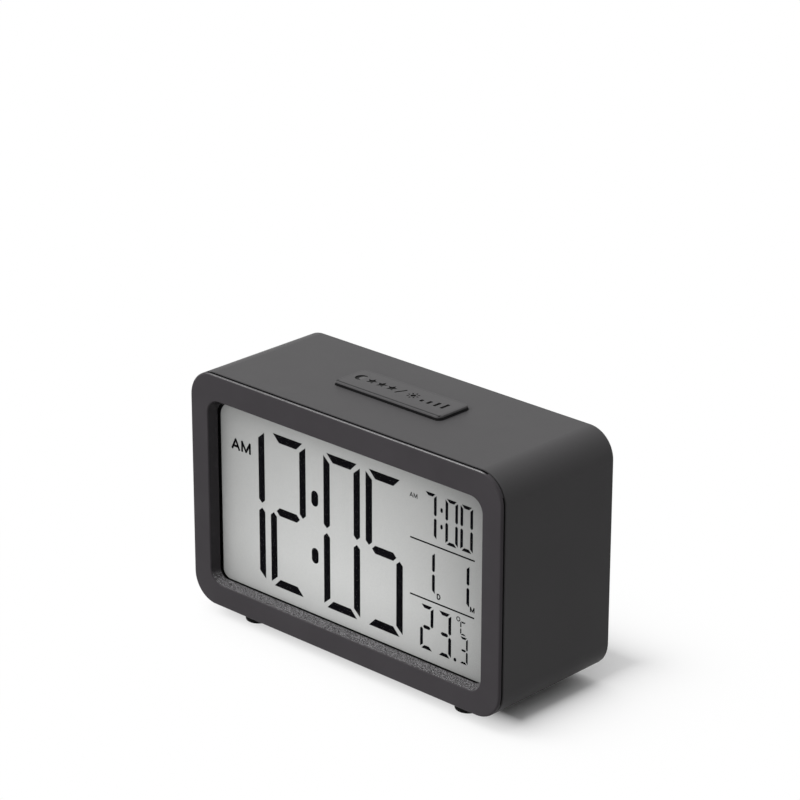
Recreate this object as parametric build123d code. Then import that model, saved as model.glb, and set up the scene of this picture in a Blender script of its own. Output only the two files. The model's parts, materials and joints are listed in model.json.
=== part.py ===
from build123d import *
import os

os.makedirs("parts", exist_ok=True)

# A desk clock with a liquid-crystal display. Millimetres, +X right, +Y back, +Z up.
# The origin is on the surface that the feet stand on, below the middle of the clock.

# Whole clock
WIDTH = 130.0
BODY_HEIGHT = 78.5
DEPTH = 50.0
CORNER_RADIUS = 9.2
WALL = 2.2
OVERRUN = 1.0  # how far a cut runs past the face that it opens

# Feet
FOOT_DIAMETER = 8.2
FOOT_PROUD = 4.5
FOOT_SEAT = 0.8
FOOT_EDGE = 0.6
FOOT_FIT = 0.1
FOOT_FROM_SIDE = 20.0
FOOT_FROM_FRONT = 8.7

# Front frame
RIM_DEPTH = 1.2
RIM_FILLET = 0.7
SEAM = 0.6
SLIDE_FIT = 0.15
SPIGOT_WALL = 1.6
SIDE_BORDER = 7.4
TOP_BORDER = 8.5
BOTTOM_BORDER = 7.2
OPENING_RADIUS = 5.0
OPENING_FILLET = 0.3
BEVEL_DEPTH = 2.9
BEVEL_INSET = 1.5
LIP_DEPTH = 0.3
CATCH_LENGTH = 12.0
CATCH_HEIGHT = 0.5
CATCH_DEPTH = 3.0
CATCH_BEHIND_RIM = 4.0
CATCH_FIT = 0.3
CATCH_FROM_SIDE = 27.0

# Display
LENS_THICK = 1.0
LENS_MARGIN = 1.9
LENS_RADIUS = 2.0
LENS_FIT = 0.15
GASKET_THICK = 0.2
GASKET_REVEAL = 0.3
POLARISER_THICK = 0.2
POLARISER_INSET = 0.6
GLASS_THICK = 0.7
GLASS_MARGIN = 1.8
GLASS_LEDGE = 2.2
DIFFUSER_THICK = 0.2
GUIDE_THICK = 3.0
GUIDE_INSET = 2.4
SHEET_THICK = 0.2
STRIP_FROM_END = 9.9
STRIP_HEIGHT = 1.8
STRIP_FIT = 0.2
LAMP_LENGTH = 3.5
LAMP_HEIGHT = 2.4
LAMP_THICK = 1.1
LAMP_PITCH = 14.0
LAMP_COUNT = 3
LAMP_BOARD_THICK = 0.8
LAMP_BOARD_MARGIN = 3.0

# Display tray
TRAY_FIT = 0.2
TRAY_WALL = 1.2
TRAY_FLOOR = 1.3
TRAY_PAD_RADIUS = 2.6
TRAY_PAD_HEIGHT = 1.0
EAR_THICK = 1.2
EAR_RADIUS = 1.9
EAR_FROM_SIDE = 15.0
EAR_INTO_WALL = 0.7
TAB_WIDTH = 8.0
TAB_REACH = 2.6

# Main board and what is on it
BOARD_NARROWER = 3.8
BOARD_SHORTER = 3.4
BOARD_THICK = 1.6
BOARD_BELOW_GLASS = 0.6
BOARD_SCREW_INSET = 4.0
CHIP_RADIUS = 7.0
CHIP_HEIGHT = 1.8
CRYSTAL_RADIUS = 1.5
CRYSTAL_LENGTH = 8.0
CRYSTAL_OUT = 12.0
CRYSTAL_UP = 8.0
RESISTOR_LENGTH = 3.2
RESISTOR_WIDTH = 1.6
RESISTOR_THICK = 0.6
RESISTOR_PITCH = 4.0
RESISTOR_COUNT = 6
CAPACITOR_RADIUS = 2.5
CAPACITOR_HEIGHT = 6.0

# Screws
SCREW_FIT = 0.05
FINE_SCREW = 1.8
FINE_HEAD = 3.4
FINE_HEAD_HEIGHT = 1.2
FINE_SCREW_BITE = 2.0
CASE_SCREW = 2.6
CASE_HEAD = 4.8
CASE_HEAD_HEIGHT = 1.6
CASE_SCREW_BITE = 8.0
HEAD_CHAMFER = 0.4
CROSS_SLOT = 0.7
CROSS_REACH = 2.6
CROSS_DEPTH = 0.8

# Housing
REAR_FILLET = 0.8
FRONT_EDGE_FILLET = 0.3
COVER_INSET = 0.8
COVER_THICK = 2.0
COVER_FIT = 0.15
LEDGE_WIDTH = 1.2
LEDGE_DEPTH = 2.0
POST_RADIUS = 3.0
POST_LENGTH = 16.0
POST_FROM_SIDE = 7.5
POST_WEB = 1.4
RIB_THICK = 1.2
RIB_HEIGHT = 1.4
RIB_START = 14.0
RIB_PITCH = 15.0

# Top button
BUTTON_LENGTH = 44.0
BUTTON_WIDTH = 13.7
BUTTON_RADIUS = 1.6
BUTTON_PROUD = 1.3
BUTTON_FILLET = 0.35
BUTTON_GAP = 0.3
BUTTON_BEHIND_MIDDLE = 1.8
BUTTON_TRAVEL = 0.8
BUTTON_SKIN = 1.4
BUTTON_WALL = 1.2
FLANGE_MARGIN = 1.5
FLANGE_THICK = 1.0
FLANGE_GAP = 0.15
STEM_RADIUS = 2.2

# Push switches, alike under the top button and the rear keys
SWITCH_SIDE = 6.0
SWITCH_HEIGHT = 3.4
SWITCH_CHAMFER = 0.3
PLUNGER_RADIUS = 1.7
PLUNGER_PROUD = 1.6
PLUNGER_SUNK = 1.0
PLUNGER_FIT = 0.1
SWITCH_LEG = 0.6
SWITCH_LEG_SPREAD = 7.4

# Top button board
SNOOZE_BOARD_END = 4.0
SNOOZE_BOARD_WIDTH = 11.0
SMALL_BOARD_THICK = 1.2
SNOOZE_POST_BESIDE = 4.0
SNOOZE_POST_LENGTH = 10.6
SMALL_POST_RADIUS = 2.5

# Rear keys
KEY_HEIGHT = 5.2
KEY_PROUD = 0.6
KEY_FILLET = 0.5
KEY_GAP = 0.25
KEY_COUNT = 4
KEY_TO_KNOB = 22.0
KEY_POST_CLEAR = 0.55
KEY_FROM_SIDE = 28.0
KEY_FLANGE = 1.2
KEY_FLANGE_THICK = 1.0
KEY_FLANGE_GAP = 0.3
KEY_ROW_DROP = 13.5
KEY_BOARD_HEIGHT = 12.0
KEY_BOARD_END = 9.0
KEY_BOARD_FROM_COVER = 9.0
KEY_POST_INSET = 3.0

# Alarm knob
KNOB_LENGTH = 4.6
KNOB_HEIGHT = 3.6
KNOB_TRAVEL = 3.0
KNOB_GAP = 0.25
KNOB_PROUD = 0.3
KNOB_FROM_SIDE = 24.5
KNOB_FLANGE = 1.4
KNOB_RIDGE = 0.5
LEVER_SIDE = 2.0
LEVER_FIT = 0.1
LEVER_BITE = 2.0
SLIDE_LENGTH = 12.0
SLIDE_HEIGHT = 5.0
SLIDE_THICK = 3.6
SLIDE_CAVITY = 2.4

# Battery bay
CELL_DIAMETER = 10.5
CELL_LENGTH = 44.5
CELL_NUB_RADIUS = 1.9
CELL_NUB_LENGTH = 0.8
CELL_EDGE = 0.5
CELL_GROOVE = 0.25
CELL_COUNT = 3
ROW_GAP = 0.7
ROW_SIDE_GAP = 0.25
CELL_FLOOR_GAP = 0.3
CELL_ROOF_GAP = 0.8
BAY_ABOVE_BOTTOM = 9.5
BAY_WALL = 1.5
BAY_FLOOR = 1.5
CONTACT_ROOM = 5.1
BAY_RIB_THICK = 1.2
BAY_RIB_HEIGHT = 2.6
CONTACT_THICK = 0.4
CONTACT_SIDE = 9.0
CONTACT_GAP = 0.1
DIMPLE_HEIGHT = 0.8
DIMPLE_RADIUS = 2.2
LEAF_WIDTH = 5.0
LEAF_SPAN = 7.0
TAB_LENGTH = 3.0
TAB_SIDE = 3.0
TAB_FROM_FLOOR = 1.6

# Battery door and its hinge and latch
DOOR_GAP = 0.3
DOOR_MARGIN = 3.7
DOOR_SEAT_GAP = 0.1
HINGE_BELOW_BAY = 2.4
BARREL_RADIUS = 1.4
PIN_RADIUS = 0.8
PIN_LENGTH = 1.7
PIN_FIT = 0.05
FLANGE_PLATE = 1.8
FLANGE_PLATE_MARGIN = 2.2
DOOR_RIB_HEIGHT = 0.5
DOOR_RIB_WIDTH = 1.2
DOOR_RIB_PITCH = 26.0
LATCH_WIDTH = 12.0
LATCH_THICK = 0.9
LATCH_FROM_BAY = 2.3
LATCH_BEND = 1.3
LATCH_DEPTH = 5.8
PAD_HEIGHT = 2.5
PAD_THICK = 1.0
NOSE_HEIGHT = 0.7
NOSE_DEPTH = 1.2
CATCH_BAR = 1.2
POCKET_FIT = 0.6
POCKET_WALL = 1.2

# Sounder and thermistor
SOUNDER_RADIUS = 11.0
SOUNDER_HEIGHT = 3.8
SOUNDER_WALL = 1.0
SOUNDER_FROM_SIDE = 16.0
SOUNDER_ABOVE_BOTTOM = 26.5
SOUNDER_FIT = 0.3
DISC_RADIUS = 9.6
DISC_THICK = 0.4
RING_WALL = 1.0
RING_HEIGHT = 2.6
SOUND_HOLE = 1.6
SOUND_RING_PITCH = 2.7
SOUND_RING_COUNTS = (1, 6, 12)
VENT_LENGTH = 10.0
VENT_HEIGHT = 1.2
VENT_PITCH = 2.8
VENT_COUNT = 5
BEAD_RADIUS = 1.3
BEAD_LEAD = 0.5
BEAD_SPREAD = 1.6
BEAD_FROM_COVER = 3.0

# Wires
LEAD_DIAMETER = 1.2
LEAD_BEND = 2.6
LEAD_SPREAD = 2.0
SOCKET_LENGTH = 12.0
SOCKET_HEIGHT = 5.0
SOCKET_THICK = 4.0
RIBBON_WIDTH = 10.0
RIBBON_THICK = 0.6
RIBBON_BEND = 2.5
RIBBON_FROM_SIDE = 25.0
RIBBON_DROP = 6.5
RIBBON_BELOW_KEYS = 3.0

# Places worked out from the sizes above
FRONT = -DEPTH / 2
BACK = DEPTH / 2
BOTTOM = FOOT_PROUD
TOP = FOOT_PROUD + BODY_HEIGHT
MIDDLE = FOOT_PROUD + BODY_HEIGHT / 2
ROOF = TOP - WALL
RIM_BACK = FRONT + RIM_DEPTH
SPIGOT_WIDTH = WIDTH - 2 * (WALL + SLIDE_FIT)
SPIGOT_HEIGHT = BODY_HEIGHT - 2 * (WALL + SLIDE_FIT)
SPIGOT_RADIUS = CORNER_RADIUS - WALL - SLIDE_FIT
OPENING_WIDTH = WIDTH - 2 * SIDE_BORDER
OPENING_HEIGHT = BODY_HEIGHT - TOP_BORDER - BOTTOM_BORDER
VIEW_MIDDLE = BOTTOM + BOTTOM_BORDER + OPENING_HEIGHT / 2
LIP_WIDTH = OPENING_WIDTH - 2 * BEVEL_INSET
LIP_HEIGHT = OPENING_HEIGHT - 2 * BEVEL_INSET
LIP_RADIUS = OPENING_RADIUS - BEVEL_INSET
BEVEL_BACK = FRONT + BEVEL_DEPTH
LENS_FRONT = BEVEL_BACK + LIP_DEPTH
LENS_BACK = LENS_FRONT + LENS_THICK
GASKET_BACK = LENS_BACK + GASKET_THICK
GLASS_FRONT = GASKET_BACK + POLARISER_THICK
GLASS_MID = GLASS_FRONT + GLASS_THICK
GLASS_BACK = GLASS_MID + GLASS_THICK
DIFFUSER_FRONT = GLASS_BACK + POLARISER_THICK
GUIDE_FRONT = DIFFUSER_FRONT + DIFFUSER_THICK
GUIDE_BACK = GUIDE_FRONT + GUIDE_THICK
FLOOR_FRONT = GUIDE_BACK + SHEET_THICK
FLOOR_BACK = FLOOR_FRONT + TRAY_FLOOR
BOARD_FRONT = FLOOR_BACK + TRAY_PAD_HEIGHT
BOARD_BACK = BOARD_FRONT + BOARD_THICK
GLASS_WIDTH = LIP_WIDTH + 2 * GLASS_MARGIN
GLASS_HEIGHT = LIP_HEIGHT + 2 * GLASS_MARGIN
GLASS_LOW = VIEW_MIDDLE - GLASS_HEIGHT / 2
REAR_HEIGHT = GLASS_HEIGHT - GLASS_LEDGE
REAR_MIDDLE = VIEW_MIDDLE + GLASS_LEDGE / 2
STRIP_MIDDLE = GLASS_LOW + STRIP_FIT + STRIP_HEIGHT / 2
STRIP_LENGTH = GLASS_WIDTH - 2 * STRIP_FROM_END
BOARD_WIDTH = GLASS_WIDTH - BOARD_NARROWER
BOARD_HEIGHT = GLASS_HEIGHT - BOARD_SHORTER
BOARD_LOW = GLASS_LOW - BOARD_BELOW_GLASS
BOARD_MIDDLE = BOARD_LOW + BOARD_HEIGHT / 2
TRAY_WIDTH = GLASS_WIDTH + 2 * (TRAY_FIT + TRAY_WALL)
TRAY_HEIGHT = GLASS_HEIGHT + 2 * (TRAY_FIT + TRAY_WALL)
EAR_PITCH = WIDTH / 2 - EAR_FROM_SIDE
EAR_UP = MIDDLE + SPIGOT_HEIGHT / 2 - SPIGOT_WALL - EAR_INTO_WALL
EAR_FRONT = FLOOR_BACK - EAR_THICK
SPIGOT_BACK = EAR_FRONT
CATCH_FROM_MIDDLE = WIDTH / 2 - CATCH_FROM_SIDE
HOUSING_FRONT = RIM_BACK + SEAM
INNER_WIDTH = WIDTH - 2 * WALL
INNER_HEIGHT = BODY_HEIGHT - 2 * WALL
INNER_RADIUS = CORNER_RADIUS - WALL
COVER_BACK = BACK - COVER_INSET
COVER_FRONT = COVER_BACK - COVER_THICK
POST_X = WIDTH / 2 - POST_FROM_SIDE
POST_Z = BODY_HEIGHT / 2 - POST_FROM_SIDE
BUTTON_Y = BUTTON_BEHIND_MIDDLE
BUTTON_TOP = TOP + BUTTON_PROUD
FLANGE_TOP = ROOF - FLANGE_GAP
FLANGE_LOW = FLANGE_TOP - FLANGE_THICK
SNOOZE_POST_PITCH = BUTTON_LENGTH + 2 * (FLANGE_MARGIN + SNOOZE_POST_BESIDE)
SNOOZE_BOARD_LENGTH = SNOOZE_POST_PITCH + 2 * SNOOZE_BOARD_END
SNOOZE_BOARD_TOP = ROOF - SNOOZE_POST_LENGTH
SNOOZE_BOARD_LOW = SNOOZE_BOARD_TOP - SMALL_BOARD_THICK
KEY_ROW_UP = TOP - KEY_ROW_DROP
KEY_FIRST = WIDTH / 2 - KEY_FROM_SIDE
KNOB_AT = WIDTH / 2 - KNOB_FROM_SIDE
KEY_PITCH = (KEY_FIRST + KNOB_AT - KEY_TO_KNOB) / (KEY_COUNT - 1)
KEY_LENGTH = KEY_PITCH - 2 * (SMALL_POST_RADIUS + KEY_FLANGE + KEY_POST_CLEAR)
KEY_BOARD_LEFT = KNOB_AT + KNOB_TRAVEL + KEY_BOARD_END
KEY_BOARD_RIGHT = KEY_FIRST + KEY_BOARD_END
RIBBON_AT = WIDTH / 2 - RIBBON_FROM_SIDE
RIBBON_HIGH = KEY_ROW_UP - RIBBON_BELOW_KEYS
RIBBON_LOW = KEY_ROW_UP - RIBBON_DROP
KEY_BOARD_BACK = COVER_FRONT - KEY_BOARD_FROM_COVER
KEY_BOARD_FRONT = KEY_BOARD_BACK - SMALL_BOARD_THICK
KEY_FLANGE_BACK = COVER_FRONT - KEY_FLANGE_GAP
ROW_PITCH = CELL_DIAMETER + ROW_GAP
ROW_MARGIN = CELL_DIAMETER / 2 + ROW_SIDE_GAP
BAY_DEPTH = CELL_FLOOR_GAP + CELL_DIAMETER + CELL_ROOF_GAP
BAY_LENGTH = CELL_LENGTH + CONTACT_ROOM
BAY_BOTTOM = BOTTOM + BAY_ABOVE_BOTTOM
BAY_TOP = BAY_BOTTOM + (CELL_COUNT - 1) * ROW_PITCH + 2 * ROW_MARGIN
BAY_FRONT = COVER_FRONT - BAY_DEPTH
CELL_Y = BAY_FRONT + CELL_FLOOR_GAP + CELL_DIAMETER / 2
CONTACT_FACE = BAY_LENGTH / 2 - CONTACT_THICK
LEAF_REACH = 2 * CONTACT_FACE - DIMPLE_HEIGHT - CELL_LENGTH - 2 * CONTACT_GAP
SOUNDER_AT = WIDTH / 2 - SOUNDER_FROM_SIDE
SOUNDER_UP = BOTTOM + SOUNDER_ABOVE_BOTTOM
HINGE_Y = COVER_BACK - BARREL_RADIUS
HINGE_Z = BAY_BOTTOM - HINGE_BELOW_BAY
DOOR_FRONT = COVER_FRONT + DOOR_SEAT_GAP
DOOR_HALF = BAY_LENGTH / 2 + DOOR_MARGIN
DOOR_TOP = BAY_TOP + LATCH_FROM_BAY + LATCH_THICK
LATCH_UPPER = DOOR_TOP + 2 * LATCH_BEND - LATCH_THICK
NOSE_TOP = LATCH_UPPER + LATCH_THICK + NOSE_HEIGHT
PAD_TOP = LATCH_UPPER + PAD_HEIGHT
LATCH_FRONT = DOOR_FRONT - LATCH_DEPTH


def facing(y, x=0, z=0):
    """A plane that looks to the front, with its own x to the right and its own y up."""
    return Plane(origin=(x, y, z), x_dir=(1, 0, 0), z_dir=(0, -1, 0))


def slab(outline, front, back, x=0, z=0):
    """An outline seen from the front, made solid from y=front to y=back."""
    return extrude(facing(back, x, z) * outline, amount=back - front)


def column(outline, low, high, x=0, y=0):
    """An outline seen from above, made solid from z=low to z=high."""
    return extrude(Plane(origin=(x, y, low)) * outline, amount=high - low)


def bar(profile, left, right):
    """A profile in Y and Z, made solid from x=left to x=right."""
    side = Plane(origin=(left, 0, 0), x_dir=(0, 1, 0), z_dir=(1, 0, 0))
    return extrude(side * profile, amount=right - left)


def block(x0, x1, y0, y1, z0, z1):
    """A plain block between two corners."""
    size = Box(x1 - x0, y1 - y0, z1 - z0, align=(Align.MIN, Align.MIN, Align.MIN))
    return Pos(x0, y0, z0) * size


def backward(x, y, z):
    """A place whose own z looks to the back."""
    return Plane(origin=(x, y, z), x_dir=(1, 0, 0), z_dir=(0, 1, 0)).location


def group(pieces):
    """Separate solids that share one node."""
    return Compound(children=list(pieces))


def lead(points):
    """A thin wire along points, with round bends."""
    bends = [LEAD_BEND for point in points[1:-1]]
    path = FilletPolyline(*points, radius=bends)
    start = Plane(origin=path @ 0, z_dir=path % 0)
    return sweep(start * Circle(LEAD_DIAMETER / 2), path=path)


def screw(shank, head, head_height, length, crossed=False):
    """A screw whose head stands on z=0 and whose shank goes down."""
    cap = Cylinder(head / 2, head_height, align=(Align.CENTER, Align.CENTER, Align.MIN))
    cap = chamfer(cap.edges().sort_by(Axis.Z)[-1], HEAD_CHAMFER)
    shaft = Cylinder(shank / 2, length, align=(Align.CENTER, Align.CENTER, Align.MAX))
    body = cap + shaft
    if crossed:
        for turn in (0, 90):
            slot = Box(CROSS_REACH, CROSS_SLOT, 2 * CROSS_DEPTH)
            body -= Pos(0, 0, head_height) * Rot(0, 0, turn) * slot
    return body


# Front frame


def front_catch(length):
    """A low sloped ridge on the spigot that snaps into the housing, with its foot on z=0."""
    crest = CATCH_DEPTH / 3
    outline = Polyline((0, -CATCH_HEIGHT), (CATCH_DEPTH, -CATCH_HEIGHT), (CATCH_DEPTH, 0),
                       (crest, CATCH_HEIGHT), (0, CATCH_HEIGHT), close=True)
    return bar(make_face(outline), -length / 2, length / 2)


def catch_places():
    """Where the ridges sit: turn about the front axis, shift along the wall, distance from the middle."""
    tall = SPIGOT_HEIGHT / 2
    wide = SPIGOT_WIDTH / 2
    return ((0, CATCH_FROM_MIDDLE, tall), (0, -CATCH_FROM_MIDDLE, tall), (180, CATCH_FROM_MIDDLE, tall),
            (180, -CATCH_FROM_MIDDLE, tall), (90, 0, wide), (-90, 0, wide))


def at_catches(piece, y):
    """Copies of a piece at all the snap places."""
    copies = []
    for turn, shift, out in catch_places():
        copies.append(Pos(0, y, MIDDLE) * Rot(0, turn, 0) * Pos(shift, 0, out) * piece)
    return copies


def front_frame():
    rim = slab(RectangleRounded(WIDTH, BODY_HEIGHT, CORNER_RADIUS), FRONT, RIM_BACK, z=MIDDLE)
    rim = fillet(rim.faces().sort_by(Axis.Y)[0].edges(), RIM_FILLET)
    spigot = slab(RectangleRounded(SPIGOT_WIDTH, SPIGOT_HEIGHT, SPIGOT_RADIUS), RIM_BACK, SPIGOT_BACK,
                  z=MIDDLE)
    hollow = RectangleRounded(SPIGOT_WIDTH - 2 * SPIGOT_WALL, SPIGOT_HEIGHT - 2 * SPIGOT_WALL,
                              SPIGOT_RADIUS - SPIGOT_WALL)
    frame = rim + spigot - slab(hollow, LENS_BACK, SPIGOT_BACK + OVERRUN, z=MIDDLE)
    for ridge in at_catches(front_catch(CATCH_LENGTH), RIM_BACK + CATCH_BEHIND_RIM):
        frame += ridge
    for side in (-EAR_PITCH, 0, EAR_PITCH):
        boss = slab(Circle(EAR_RADIUS), LENS_BACK, EAR_FRONT, side, EAR_UP)
        pilot = slab(Circle(FINE_SCREW / 2 + SCREW_FIT), EAR_FRONT - FINE_SCREW_BITE - OVERRUN,
                     EAR_FRONT + OVERRUN, side, EAR_UP)
        frame = frame + boss - pilot
    wide = facing(FRONT, z=VIEW_MIDDLE) * RectangleRounded(OPENING_WIDTH, OPENING_HEIGHT, OPENING_RADIUS)
    narrow = facing(BEVEL_BACK, z=VIEW_MIDDLE) * RectangleRounded(LIP_WIDTH, LIP_HEIGHT, LIP_RADIUS)
    frame -= loft([wide, narrow], ruled=True)
    frame -= slab(RectangleRounded(LIP_WIDTH, LIP_HEIGHT, LIP_RADIUS), BEVEL_BACK, LENS_BACK, z=VIEW_MIDDLE)
    pocket = RectangleRounded(LIP_WIDTH + 2 * (LENS_MARGIN + LENS_FIT),
                              LIP_HEIGHT + 2 * (LENS_MARGIN + LENS_FIT),
                              LENS_RADIUS + LENS_FIT)
    frame -= slab(pocket, LENS_FRONT, LENS_BACK + OVERRUN, z=VIEW_MIDDLE)
    edges = frame.faces().sort_by(Axis.Y)[0].inner_wires()[0].edges()
    return fillet(edges, OPENING_FILLET)


# Display


def lens():
    outline = RectangleRounded(LIP_WIDTH + 2 * LENS_MARGIN, LIP_HEIGHT + 2 * LENS_MARGIN, LENS_RADIUS)
    return slab(outline, LENS_FRONT, LENS_BACK, z=VIEW_MIDDLE)


def display_gasket():
    ring = Rectangle(GLASS_WIDTH, GLASS_HEIGHT)
    ring -= RectangleRounded(LIP_WIDTH + 2 * GASKET_REVEAL, LIP_HEIGHT + 2 * GASKET_REVEAL, LIP_RADIUS)
    return slab(ring, LENS_BACK, GASKET_BACK, z=VIEW_MIDDLE)


def front_polariser():
    outline = Rectangle(GLASS_WIDTH - 2 * POLARISER_INSET, GLASS_HEIGHT - 2 * POLARISER_INSET)
    return slab(outline, GASKET_BACK, GLASS_FRONT, z=VIEW_MIDDLE)


def front_glass():
    return slab(Rectangle(GLASS_WIDTH, GLASS_HEIGHT), GLASS_FRONT, GLASS_MID, z=VIEW_MIDDLE)


def rear_glass():
    return slab(Rectangle(GLASS_WIDTH, REAR_HEIGHT), GLASS_MID, GLASS_BACK, z=REAR_MIDDLE)


def rear_polariser():
    outline = Rectangle(GLASS_WIDTH - 2 * POLARISER_INSET, REAR_HEIGHT - 2 * POLARISER_INSET)
    return slab(outline, GLASS_BACK, DIFFUSER_FRONT, z=REAR_MIDDLE)


def guide_outline():
    return Rectangle(GLASS_WIDTH - 2 * GUIDE_INSET, REAR_HEIGHT - 2 * POLARISER_INSET)


def diffuser():
    return slab(guide_outline(), DIFFUSER_FRONT, GUIDE_FRONT, z=REAR_MIDDLE)


def light_guide():
    return slab(guide_outline(), GUIDE_FRONT, GUIDE_BACK, z=REAR_MIDDLE)


def reflector_sheet():
    return slab(guide_outline(), GUIDE_BACK, FLOOR_FRONT, z=REAR_MIDDLE)


def contact_strip():
    return slab(Rectangle(STRIP_LENGTH, STRIP_HEIGHT), GLASS_MID, BOARD_FRONT, z=STRIP_MIDDLE)


def lamp_places():
    """The lamps stand in a row at each end of the light guide."""
    first = REAR_MIDDLE - LAMP_PITCH * (LAMP_COUNT - 1) / 2
    return [first + LAMP_PITCH * step for step in range(LAMP_COUNT)]


def backlight_lamps():
    near = GLASS_WIDTH / 2 - GUIDE_INSET + TRAY_FIT
    middle = (GUIDE_FRONT + GUIDE_BACK) / 2
    lamps = []
    for side in (-1, 1):
        for up in lamp_places():
            lamp = Box(LAMP_THICK, LAMP_HEIGHT, LAMP_LENGTH)
            lamps.append(Pos(side * (near + LAMP_THICK / 2), middle, up) * lamp)
    return group(lamps)


def backlight_boards():
    near = GLASS_WIDTH / 2 - GUIDE_INSET + TRAY_FIT + LAMP_THICK
    length = LAMP_PITCH * (LAMP_COUNT - 1) + LAMP_LENGTH + 2 * LAMP_BOARD_MARGIN
    boards = []
    for side in (-1, 1):
        strip = Box(LAMP_BOARD_THICK, GUIDE_THICK, length)
        boards.append(Pos(side * (near + LAMP_BOARD_THICK / 2), (GUIDE_FRONT + GUIDE_BACK) / 2,
                          REAR_MIDDLE) * strip)
    return group(boards)


def board_screw_places():
    """The four screw places of the main board, as x and z."""
    out = BOARD_WIDTH / 2 - BOARD_SCREW_INSET
    up = BOARD_HEIGHT / 2 - BOARD_SCREW_INSET
    return [(x, BOARD_MIDDLE + z) for x in (-out, out) for z in (-up, up)]


def display_tray():
    tray = slab(Rectangle(TRAY_WIDTH, TRAY_HEIGHT), LENS_BACK, FLOOR_BACK, z=VIEW_MIDDLE)
    pocket = Rectangle(TRAY_WIDTH - 2 * TRAY_WALL, TRAY_HEIGHT - 2 * TRAY_WALL)
    tray -= slab(pocket, LENS_BACK - OVERRUN, FLOOR_FRONT, z=VIEW_MIDDLE)
    slot = Rectangle(STRIP_LENGTH + 2 * STRIP_FIT, STRIP_HEIGHT + 2 * STRIP_FIT)
    tray -= slab(slot, FLOOR_FRONT - OVERRUN, FLOOR_BACK + OVERRUN, z=STRIP_MIDDLE)
    edge = VIEW_MIDDLE + TRAY_HEIGHT / 2
    for side in (-EAR_PITCH, 0, EAR_PITCH):
        ear = slab(Circle(EAR_RADIUS), EAR_FRONT, FLOOR_BACK, side, EAR_UP)
        ear += block(side - EAR_RADIUS, side + EAR_RADIUS, EAR_FRONT, FLOOR_BACK, edge - TRAY_WALL, EAR_UP)
        tray += ear
        tray -= slab(Circle(FINE_SCREW / 2 + SCREW_FIT), EAR_FRONT - OVERRUN, FLOOR_BACK + OVERRUN, side,
                     EAR_UP)
        low = VIEW_MIDDLE - TRAY_HEIGHT / 2
        tray += block(side - TAB_WIDTH / 2, side + TAB_WIDTH / 2, EAR_FRONT, FLOOR_BACK, low - TAB_REACH,
                      low + TRAY_WALL)
    for x, z in board_screw_places():
        tray += slab(Circle(TRAY_PAD_RADIUS), FLOOR_FRONT, BOARD_FRONT, x, z)
        tray -= slab(Circle(FINE_SCREW / 2 + SCREW_FIT), BOARD_FRONT - FINE_SCREW_BITE,
                     BOARD_FRONT + OVERRUN, x, z)
    return tray


def tray_screws():
    screws = []
    for side in (-EAR_PITCH, 0, EAR_PITCH):
        screws.append(backward(side, FLOOR_BACK, EAR_UP) * screw(FINE_SCREW, FINE_HEAD, FINE_HEAD_HEIGHT,
                                                                EAR_THICK + FINE_SCREW_BITE))
    return group(screws)


# Main board


def main_board():
    board = slab(Rectangle(BOARD_WIDTH, BOARD_HEIGHT), BOARD_FRONT, BOARD_BACK, z=BOARD_MIDDLE)
    for x, z in board_screw_places():
        board -= slab(Circle(FINE_SCREW / 2 + SCREW_FIT), BOARD_FRONT - OVERRUN, BOARD_BACK + OVERRUN, x, z)
    return board


def board_screws():
    one = screw(FINE_SCREW, FINE_HEAD, FINE_HEAD_HEIGHT, BOARD_THICK + FINE_SCREW_BITE - SCREW_FIT)
    return group([backward(x, BOARD_BACK, z) * one for x, z in board_screw_places()])


def chip_cover():
    """A low drop of black resin over the chip."""
    radius = (CHIP_RADIUS ** 2 + CHIP_HEIGHT ** 2) / (2 * CHIP_HEIGHT)
    drop = Cylinder(CHIP_RADIUS, CHIP_HEIGHT, align=(Align.CENTER, Align.CENTER, Align.MIN))
    drop &= Pos(0, 0, CHIP_HEIGHT - radius) * Sphere(radius)
    return backward(0, BOARD_BACK, BOARD_MIDDLE) * drop


def crystal():
    can = Cylinder(CRYSTAL_RADIUS, CRYSTAL_LENGTH, rotation=(0, 90, 0))
    can = chamfer(can.edges().filter_by(GeomType.CIRCLE), CRYSTAL_RADIUS / 4)
    return Pos(CRYSTAL_OUT, BOARD_BACK + CRYSTAL_RADIUS, BOARD_MIDDLE + CRYSTAL_UP) * can


def board_parts():
    pieces = []
    for step in range(RESISTOR_COUNT):
        chip = Box(RESISTOR_LENGTH, RESISTOR_THICK, RESISTOR_WIDTH)
        x = CRYSTAL_OUT + RESISTOR_PITCH * step
        pieces.append(Pos(x, BOARD_BACK + RESISTOR_THICK / 2, BOARD_MIDDLE - CRYSTAL_UP) * chip)
    can = Cylinder(CAPACITOR_RADIUS, CAPACITOR_HEIGHT, align=(Align.CENTER, Align.CENTER, Align.MIN))
    can = chamfer(can.edges().sort_by(Axis.Z)[-1], CAPACITOR_RADIUS / 5)
    pieces.append(backward(-CRYSTAL_OUT, BOARD_BACK, BOARD_MIDDLE - CRYSTAL_UP) * can)
    return group(pieces)


def ribbon_sockets():
    low = Box(SOCKET_LENGTH, SOCKET_THICK, SOCKET_HEIGHT)
    on_main = Pos(-RIBBON_AT, BOARD_BACK + SOCKET_THICK / 2, RIBBON_LOW) * low
    on_keys = Pos(-RIBBON_AT, KEY_BOARD_FRONT - SOCKET_THICK / 2, RIBBON_HIGH) * low
    return group([on_main, on_keys])


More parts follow.
